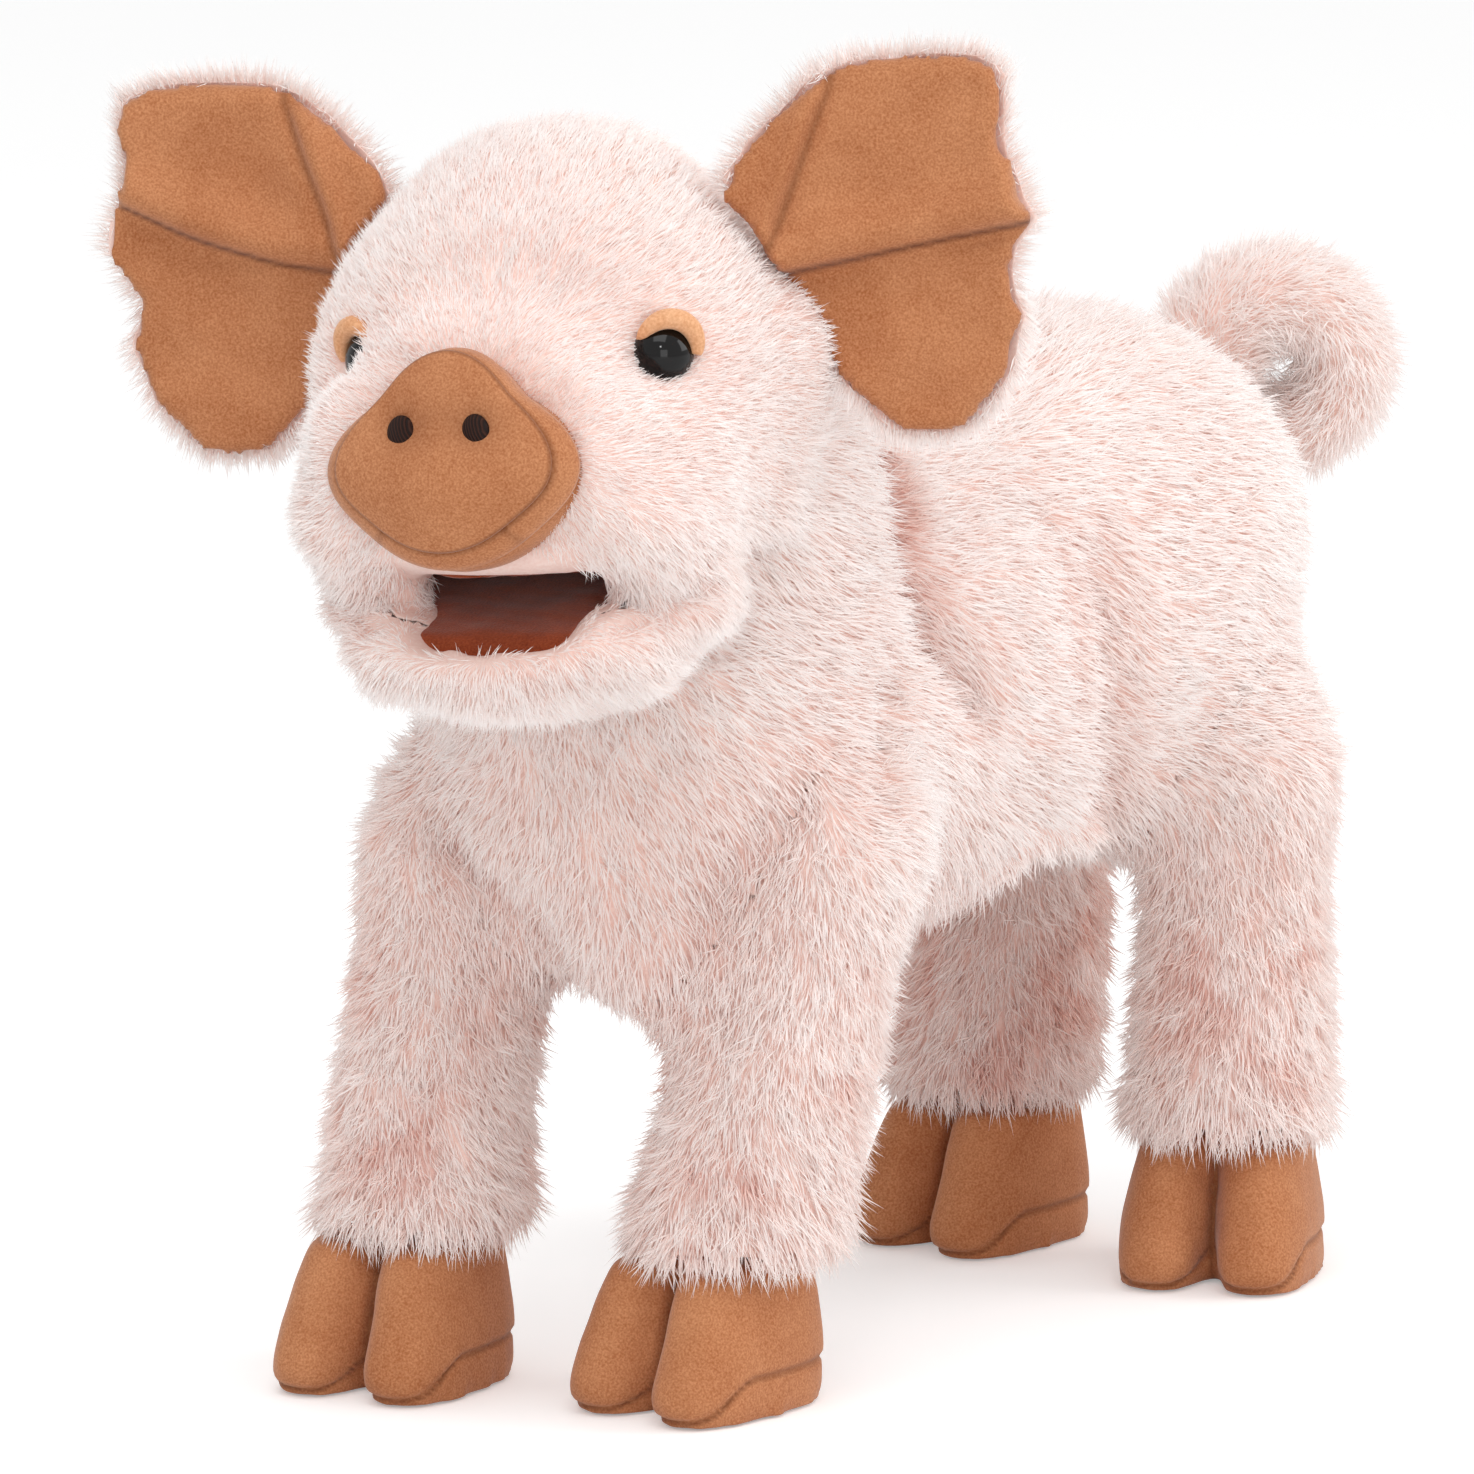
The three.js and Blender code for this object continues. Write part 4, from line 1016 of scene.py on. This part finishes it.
# pleat and inner strip: heights and distances from the root in mm, as base, slope and curve
earLining = {"voxel": 1.1, "soften": 4, "step": 3.4, "stepSpan": (-0.8, 0.8), "sewnStep": 3, "sewnSpan": (-3, 3),
             "puff": 4.2, "puffSize": 5, "tuck": 0.8, "tuckSize": 2, "flap": 3.2, "flapSize": 2.8, "groove": 2.2,
             "grooveAt": 0.8, "grooveSize": 1.3, "flapSpan": (-2, 3), "crumple": 2.2, "hem": 1.8,
             "hemFacing": (0.2, 0.7), "frontFacing": (0.3, -0.6), "sewn": 3.6, "sewnFacing": (-0.2, 0.4), "smooth": 5,
             "pleat": {"right": (-1.5, 0, 0.0052), "left": (-5.5, 0.155, 0)},
             "strip": {"right": (5.1, 0.342), "left": (2.3, 0.43)}}
for side, sign in sides.items():
    earBack = skinOver("earSkin." + side, ("ear_back_" + side,), ear)
    earIn = earAt[side].inverted()
    earTurn = earAt[side].to_3x3()
    liningTree = nodeTree("ear_lining_" + side)

    def facingBack(normal):
        return (earIn.to_3x3() @ normal).y

    def recess(place, normal):
        front = ease(*ear["recessFacing"], facingBack(normal))
        near = easeMm(ear["recessSpan"], liningTree.find_nearest(place)[3])
        return earTurn @ Vector((0, ear["recess"] * mm * front * near, 0))

    sculpt(earBack, recess)

    def outwards(place):
        local = earIn @ place
        return Vector((local.x - sign * ear["middle"] * mm, earCoat["backward"] * mm,
                       local.z * earCoat["upright"])).normalized()

    def earComb(place, normal):
        return earTurn @ outwards(place) + noise.noise_vector(place * earCoat["swirlScale"]) * earCoat["swirl"]

    def earPile(place, normal):
        under = liningTree.ray_cast(place - normal * earCoat["liningFrom"] * mm, normal, earCoat["liningReach"] * mm)[0]
        return 0.0 if under else 1 + earCoat["border"] * ease(*earCoat["borderFacing"], facingBack(normal))

    def earReach(place, normal):
        return 0.7 + 0.3 * ease(*earCoat["rimFacing"], facingBack(normal))

    growFur(earBack, lambda obj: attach(obj, "ear_" + side), earCoat, earComb, earPile, earReach)
    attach(earBack, "ear_" + side)
    declare(("ear_back_" + side,))
    cover = remeshed("earLining." + side, ("ear_lining_" + side,), earLining["voxel"], suede)
    soften(cover, earLining["soften"])

    def foldLines(place):
        local = (earIn @ place) / mm
        base, slope, curve = earLining["pleat"][side]
        root, spread = earLining["strip"][side]
        reach = sign * local.x
        return local.z - base - slope * reach - curve * reach * reach, reach - root - spread * local.z, local

    def pleat(place, normal):
        line, strip, local = foldLines(place)
        flat = earLining["sewnStep"] * ease(*earLining["sewnSpan"], local.z)
        step = (earLining["step"] * ease(*earLining["stepSpan"], line)
                + earLining["puff"] * bump(line - earLining["puffSize"], earLining["puffSize"])
                - earLining["tuck"] * bump(line + earLining["tuckSize"], earLining["tuckSize"]))
        flap = (earLining["flap"] * bump(strip + earLining["flapSize"], earLining["flapSize"])
                - earLining["groove"] * bump(strip - earLining["grooveAt"], earLining["grooveSize"]))
        crease = earLining["crumple"] * noise.noise(Vector((local.x * 0.06, local.z * 0.07, sign * 3.0)))
        out = outwards(place)
        facing = earIn.to_3x3() @ normal
        hem = earLining["hem"] * ease(*earLining["hemFacing"], out.dot(facing))
        front = flat - step - flap * ease(*earLining["flapSpan"], line) + crease
        forward = (front * ease(*earLining["frontFacing"], facing.y)
                   + earLining["sewn"] * ease(*earLining["sewnFacing"], facing.y))
        return earTurn @ (Vector((out.x * hem, forward, out.z * hem)) * mm)

    # painted shade: darker along the slit under the pleat's upper panel, and darker in the groove beside the inner
    # strip
    seam = []
    for vert in cover.data.vertices:
        line, strip, local = foldLines(vert.co)
        groove = 0.5 * bump(strip - earLining["grooveAt"], 0.9) * ease(*earLining["flapSpan"], line)
        seam.append(max(0.9 * bump(line + 0.5, 0.75), groove))
    sculpt(cover, pleat)
    soften(cover, earLining["smooth"])
    paint(cover, "seam", seam)
    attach(cover, "ear_" + side)
    declare(("ear_lining_" + side,))
print("ears done")

# hooves: two toes that splay at the floor and a sole, stitched along the side
hoof = {"voxel": 1.9, "soften": 3, "cleft": 3.6, "cleftWidth": 1.1, "splay": 3.2, "splaySpan": (13, 0),
        "deeper": 0.5, "deeperSpan": (12, 2), "front": (0, -15), "toe": 2.2, "toeHeight": 5, "toeFront": (-8, -22),
        "waist": 1.0, "waistHeight": 17, "round": 6, "seamHeight": 8.5, "seamFoot": 1.5, "seamFront": (-25, -8),
        "seamDepth": 0.9, "seamWidth": 0.9, "sideFacing": (0.2, 0.6), "under": 0.5, "underSpan": (0.4, -0.6),
        "seamTone": 0.75, "toneWidth": 0.6, "cleftTone": (2, -14),
        "turn": {"front_right": 10, "front_left": 0, "hind_right": 0, "hind_left": 24}}
for leg in legNames:
    lowest, highest = (Vector(corner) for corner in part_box(leg + "_sole"))
    middle = (lowest + highest) / 2
    hoofAt = Matrix.Translation((middle.x, middle.y, 0)) @ turn(hoof["turn"][leg], "Z")
    hoofIn = hoofAt.inverted()
    shell = remeshed("hoof." + leg, [leg + part for part in ("_sole", "_toe_right", "_toe_left")], hoof["voxel"], suede)
    soften(shell, hoof["soften"])
    refine(shell)

    def seamLine(local):
        return hoof["seamHeight"] * ease(*hoof["seamFront"], local.y) + hoof["seamFoot"]

    def shapeHoof(place, normal):
        local = (hoofIn @ place) / mm
        front = ease(*hoof["front"], local.y)
        width = hoof["cleftWidth"] + hoof["splay"] * ease(*hoof["splaySpan"], local.z)
        deeper = 1 + hoof["deeper"] * ease(*hoof["deeperSpan"], local.z)
        cleft = hoof["cleft"] * bump(local.x, width) * front * deeper
        tip = hoof["toe"] * bump(local.z - hoof["toeHeight"], hoof["round"]) * ease(*hoof["toeFront"], local.y)
        waist = hoof["waist"] * bump(local.z - hoof["waistHeight"], hoof["round"]) * front
        along = hoofAt.to_3x3() @ Vector((0, cleft - tip + waist, 0))
        line = local.z - seamLine(local)
        side = ease(*hoof["sideFacing"], 1 - abs(normal.z))
        groove = bump(line, hoof["seamWidth"]) + hoof["under"] * ease(*hoof["underSpan"], line)
        stitch = -normal * hoof["seamDepth"] * groove * side
        return (along + stitch) * mm

    sculpt(shell, shapeHoof)
    seam = []
    for vert in shell.data.vertices:
        local = (hoofIn @ vert.co) / mm
        cleft = hoof["seamTone"] * bump(local.x, hoof["seamWidth"]) * ease(*hoof["cleftTone"], local.y)
        stitch = hoof["seamTone"] * bump(local.z - seamLine(local), hoof["toneWidth"])
        seam.append(min(max(cleft, stitch), 1))
    paint(shell, "seam", seam)
    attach(shell, leg + "_leg")
    declare((leg + "_sole", leg + "_toe_right", leg + "_toe_left"))
print("hooves done")

# snout: a side band with a rolled lip, a crowned disc with a piped edge, and stitched nostrils
snout = {"core": 21.2, "wing": 4.3, "wingAngle": -8, "wingSpread": 24, "crown": 1.7, "crownSpread": 24, "pinch": 1.4,
         "pinchAngle": 42, "pinchSpread": 20, "drop": -3, "lean": 0.06, "steps": 96, "front": 17.4,
         "flareSpan": (45, -10),
         "disc": ((0.001, 5.2), (0.2, 5.1), (0.4, 4.6), (0.6, 3.7), (0.78, 2.6), (0.88, 1.8), (0.94, 1.2), (0.975, 0.8),
                  (1.0, 0.2), (1.008, -0.4), (1.0, -0.9), (0.96, -1.2)),
         "band": ((0.95, -0.4, 0), (0.99, -0.9, 0.2), (1.01, -2, 1.2), (1.02, -4, 2.8), (1.025, -6, 3.7),
                  (1.02, -7.6, 3.7), (1.0, -8.4, 2.9), (0.99, -9.2, 3.6), (0.97, -11, 5.0), (0.93, -15, 6.4),
                  (0.89, -19, 7.2), (0.85, -24, 7.2), (0.8, -28, 5)),
         "wall": 2.2, "dent": 1.8, "dentWidth": 5, "valley": 1.6, "belly": 2.2, "seamAngle": -50}
nostril = {"place": (8.8, 2.4), "size": (3.2, 1.4, 3.7), "tilt": 12, "forward": 2.1}


def halfTurn(angle):
    degrees = math.degrees(angle)
    return degrees if abs(degrees) <= 90 else math.copysign(180, degrees) - degrees


def outline(angle):
    degrees = halfTurn(angle)
    return (snout["core"] + snout["wing"] * bump(degrees - snout["wingAngle"], snout["wingSpread"])
            + snout["crown"] * bump(degrees - 90, snout["crownSpread"])
            - snout["pinch"] * bump(degrees - snout["pinchAngle"], snout["pinchSpread"]))


# each row is a share of the outline, a place along the snout and a flare for the lower half
def turnedSnout(profile):
    bm = bmesh.new()
    rows = [(*row, 0)[:3] for row in profile]
    line = [bm.verts.new((1 + number, 0, 0)) for number in range(len(rows))]
    edges = [bm.edges.new(pair) for pair in zip(line, line[1:])]
    bmesh.ops.spin(bm, geom=line + edges, cent=(0, 0, 0), axis=(0, 1, 0), angle=2 * math.pi, steps=snout["steps"],
                   use_merge=True)
    marks = []
    for vert in bm.verts:
        share, forward, flare = rows[round(math.hypot(vert.co.x, vert.co.z)) - 1]
        angle = math.atan2(vert.co.z, vert.co.x)
        radius = outline(angle) * share + flare * ease(*snout["flareSpan"], halfTurn(angle))
        z = radius * math.sin(angle)
        vert.co = (radius * math.cos(angle) + snout["lean"] * z, -forward - snout["front"], z + snout["drop"])
        marks.append((halfTurn(angle), share, forward))
    return bm, marks


discMesh, discMarks = turnedSnout(snout["disc"])
nostrilX, nostrilZ = nostril["place"]
# the disc's piped edge is a sewn seam; the darkening in the dents round the nostrils and in the valley between and
# above them is painted shade
discSeamAndShade = []
for vert, (_, share, _) in zip(discMesh.verts, discMarks):
    near = sum(bump(math.hypot(vert.co.x - sign * nostrilX, vert.co.z - nostrilZ), snout["dentWidth"])
               for sign in sides.values())
    valley = bump(vert.co.x, 12) * bump(vert.co.z - nostrilZ - 2, 4.5)
    belly = bump(vert.co.x, 15) * bump(vert.co.z + 11, 9)
    edge = bump(share - 1.004, 0.012)
    discSeamAndShade.append(min(0.6 * edge + 0.25 * near + 0.2 * valley, 1))
    vert.co.y += snout["dent"] * near + snout["valley"] * valley - snout["belly"] * belly * ease(1, 0.8, share)
bandMesh, bandMarks = turnedSnout(snout["band"])
bandSeam = []
for angle, _, forward in bandMarks:
    join = 0.75 * bump(forward + 0.6, 0.7)
    roll = 0.7 * bump(forward + 8.4, 0.5) * ease(10, -10, angle)
    short = 0.6 * bump(angle - snout["seamAngle"], 1.6) * ease(-8.6, -8, forward)
    bandSeam.append(min(join + roll + short, 1))
for name, bm, seam, replaced in (("snoutDisc", discMesh, discSeamAndShade, ("snout_disc",)),
                                 ("snoutBand", bandMesh, bandSeam, ("snout_band", "snout_stuffing"))):
    bmesh.ops.transform(bm, matrix=snoutAt @ Matrix.Scale(mm, 4), verts=bm.verts)
    obj = newPiece(name, bm, suede)
    paint(obj, "seam", seam)
    bm = bmesh.new()
    bm.from_mesh(obj.data)
    bmesh.ops.remove_doubles(bm, verts=bm.verts, dist=1e-5)
    bmesh.ops.recalc_face_normals(bm, faces=bm.faces)
    bm.to_mesh(obj.data)
    bm.free()
    if name == "snoutBand":
        wall = obj.modifiers.new("wall", "SOLIDIFY")
        wall.thickness = snout["wall"] * mm
        wall.offset = -1
        settle(obj)
    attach(obj, "head")
    declare(replaced)
for side, sign in sides.items():
    bm = bmesh.new()
    bmesh.ops.create_uvsphere(bm, u_segments=24, v_segments=14, radius=1)
    bmesh.ops.scale(bm, vec=nostril["size"], verts=bm.verts)
    bmesh.ops.rotate(bm, matrix=Matrix.Rotation(math.radians(-sign * nostril["tilt"]), 3, "Y"), verts=bm.verts)
    bmesh.ops.translate(bm, vec=(sign * nostrilX, -snout["front"] - nostril["forward"], nostrilZ), verts=bm.verts)
    bmesh.ops.transform(bm, matrix=snoutAt @ Matrix.Scale(mm, 4), verts=bm.verts)
    stitch = newPiece("nostril." + side, bm, thread)
    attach(stitch, "head")
    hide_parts("nostril_" + side)
print("snout done")

# eyes: a polished dome under a padded lid that reaches down at its outer end
eye = {"radius": 7, "dome": 6.2, "cut": -0.25, "sink": 3.4, "aside": 3.0, "lidRadius": 6.3, "lidFrom": -14,
       "lidTo": 152, "lidWidth": 2.4, "lidThick": 2.6, "lidForward": 5.4, "lidSteps": 44}
eyeAside = Matrix.Translation(skullAt.to_3x3() @ Vector((eye["aside"] * mm, 0, 0)))
eyeTurned = {side: eyeAside @ eyeAt[side] for side in sides}
for side, sign in sides.items():
    bm = bmesh.new()
    bmesh.ops.create_uvsphere(bm, u_segments=40, v_segments=24, radius=1)
    bmesh.ops.bisect_plane(bm, geom=bm.verts[:] + bm.edges[:] + bm.faces[:], plane_co=(0, 0, eye["cut"]),
                           plane_no=(0, 0, -1), clear_outer=True)
    bmesh.ops.holes_fill(bm, edges=[edge for edge in bm.edges if edge.is_boundary])
    rim = []
    for vert in bm.verts:
        rim.append(ease(0.9, 1.0, vert.co.xy.length))
        vert.co = (vert.co.x * eye["radius"], eye["sink"] - vert.co.z * eye["dome"], vert.co.y * eye["radius"])
    bmesh.ops.recalc_face_normals(bm, faces=bm.faces)
    bmesh.ops.transform(bm, matrix=eyeTurned[side] @ Matrix.Scale(mm, 4), verts=bm.verts)
    dome = newPiece("eyeDome." + side, bm, eyeGloss)
    paint(dome, "seam", rim)
    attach(dome, "head")
    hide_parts("eye_" + side)

    bm = bmesh.new()
    ring = bmesh.ops.create_circle(bm, cap_ends=False, segments=16, radius=1)["verts"]
    bmesh.ops.translate(bm, vec=(eye["lidRadius"], 0, 0), verts=ring)
    sweep = math.radians(eye["lidTo"] - eye["lidFrom"])
    bmesh.ops.spin(bm, geom=bm.verts[:] + bm.edges[:], cent=(0, 0, 0), axis=(0, -1, 0), dvec=(0, 0, 0), angle=sweep,
                   steps=eye["lidSteps"])
    for vert in bm.verts:
        angle = math.atan2(vert.co.z, vert.co.x) % (2 * math.pi)
        angle = angle if angle < 1.6 * math.pi else 0
        share = min(angle / sweep, 1)
        reach = math.hypot(vert.co.x, vert.co.z) - eye["lidRadius"]
        thick = 0.3 + 0.7 * math.sin(math.pi * min(0.06 + 0.94 * share, 1)) ** 0.6
        radius = eye["lidRadius"] + reach * eye["lidWidth"] * thick + 0.5 * thick
        bearing = angle + math.radians(eye["lidFrom"])
        vert.co = (sign * radius * math.cos(bearing), eye["sink"] - eye["lidForward"] * thick
                   - vert.co.y * eye["lidThick"] * thick, radius * math.sin(bearing))
    bmesh.ops.holes_fill(bm, edges=[edge for edge in bm.edges if edge.is_boundary])
    bmesh.ops.recalc_face_normals(bm, faces=bm.faces)
    bmesh.ops.transform(bm, matrix=eyeTurned[side] @ Matrix.Scale(mm, 4), verts=bm.verts)
    lid = newPiece("eyelid." + side, bm, lidSuede)
    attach(lid, "head")
    declare(("eyelid_" + side,))
    frame["nodes"]["eye_washer_" + side].data.materials.clear()
    frame["nodes"]["eye_washer_" + side].data.materials.append(washerPlastic)
print("eyes done")

# mouth and hand linings: piece, finish, body and slot of each node
linings = {"palate_lining": ("palate", velour, "head", "mouth_velour"),
           "jaw_lining": ("tongueBed", velour, "jaw", "mouth_velour"),
           "sleeve_wrist": ("wristSleeve", lining, "torso", "hand_lining"),
           "sleeve_palm": ("palmSleeve", lining, "torso", "hand_lining"),
           "sleeve_hem": ("sleeveHem", backing, "torso", "hand_lining"),
           "neck_lining": ("neckBand", lining, "neck", "hand_lining"),
           "finger_pocket": ("fingerPocket", lining, "head", "hand_lining"),
           "thumb_pocket": ("thumbPocket", lining, "jaw", "hand_lining")}
liningCloth = {"voxel": 1.5, "soften": 2, "crumple": 0.35, "crumpleScale": 120, "fill": 0.1, "roll": -3.5,
               "rollFront": (-53, -59)}


# the front edge of the tongue lining rolls down behind the lip
def rollDown(place, normal):
    roll = liningCloth["roll"] * mm * easeMm(liningCloth["rollFront"], (skullIn @ place).y)
    return skullAt.to_3x3() @ Vector((0, 0, roll))


def crumple(place, normal):
    return normal * liningCloth["crumple"] * mm * noise.noise(place * liningCloth["crumpleScale"])


for node, (name, finish, bodyName, slotName) in linings.items():
    obj = remeshed(name, (node,), liningCloth["voxel"], finish)
    if name == "tongueBed":
        sculpt(obj, rollDown)
    soften(obj, liningCloth["soften"])
    sculpt(obj, crumple)
    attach(obj, bodyName)
    declare((node,))
    print(name, len(obj.data.polygons), "faces")
bpy.data.objects.remove(strand)

# studio: white floor that keeps the shadow, soft light all round
studio = {"world": 0.66, "floor": 0.9, "floorLift": 0.3, "floorDrop": 0.0003, "aim": (0, 0, 0.15),
          "lamps": {"key": ((0.5, -0.9, 2.3), 1.6, 19), "fill": ((1.7, -1.6, 0.5), 0.9, 5),
                    "rim": ((1.9, 1.3, 1.2), 1.4, 17), "catchlight": ((1.3, -1.8, 1.4), 0.2, 3)}}


def eitherRay(tree, first, second):
    node = addNode(tree, "ShaderNodeMath", operation="ADD", use_clamp=True)
    tree.links.new(first, node.inputs[0])
    tree.links.new(second, node.inputs[1])
    return node.outputs[0]


bm = bmesh.new()
bmesh.ops.create_grid(bm, x_segments=1, y_segments=1, size=8)
bmesh.ops.translate(bm, vec=(0, 0, -studio["floorDrop"]), verts=bm.verts)
floorPaint, floorTree, floorLinks, floorShader = newMaterial("floorPaint")
setInputs(floorShader, {"Base Color": (*[studio["floor"]] * 3, 1), "Roughness": 0.9, "Specular IOR Level": 0.1,
                        "Emission Color": (1, 1, 1, 1)})
rays = addNode(floorTree, "ShaderNodeLightPath")
lift = addNode(floorTree, "ShaderNodeMath", operation="MULTIPLY")
lift.inputs[1].default_value = studio["floorLift"]
floorLinks.new(eitherRay(floorTree, rays.outputs["Is Camera Ray"], rays.outputs["Is Glossy Ray"]), lift.inputs[0])
floorLinks.new(lift.outputs[0], floorShader.inputs["Emission Strength"])
newPiece("floor", bm, floorPaint)

world = bpy.data.worlds.new("studio")
scene.world = world
world.use_nodes = True
worldTree = world.node_tree
rays = addNode(worldTree, "ShaderNodeLightPath")
seen = eitherRay(worldTree, rays.outputs["Is Camera Ray"], rays.outputs["Is Glossy Ray"])
level = addNode(worldTree, "ShaderNodeMapRange")
setInputs(level, {"To Min": studio["world"], "To Max": 1.0})
worldTree.links.new(eitherRay(worldTree, seen, rays.outputs["Is Transmission Ray"]), level.inputs["Value"])
sky = worldTree.nodes["Background"]
sky.inputs["Color"].default_value = (1, 1, 1, 1)
worldTree.links.new(level.outputs[0], sky.inputs["Strength"])
for name, (place, size, power) in studio["lamps"].items():
    lamp = bpy.data.lights.new(name, "AREA")
    lamp.size = size
    lamp.energy = power
    obj = bpy.data.objects.new(name, lamp)
    obj.location = place
    obj.rotation_euler = (Vector(place) - Vector(studio["aim"])).to_track_quat("Z", "Y").to_euler()
    scene.collection.objects.link(obj)
print("studio set")
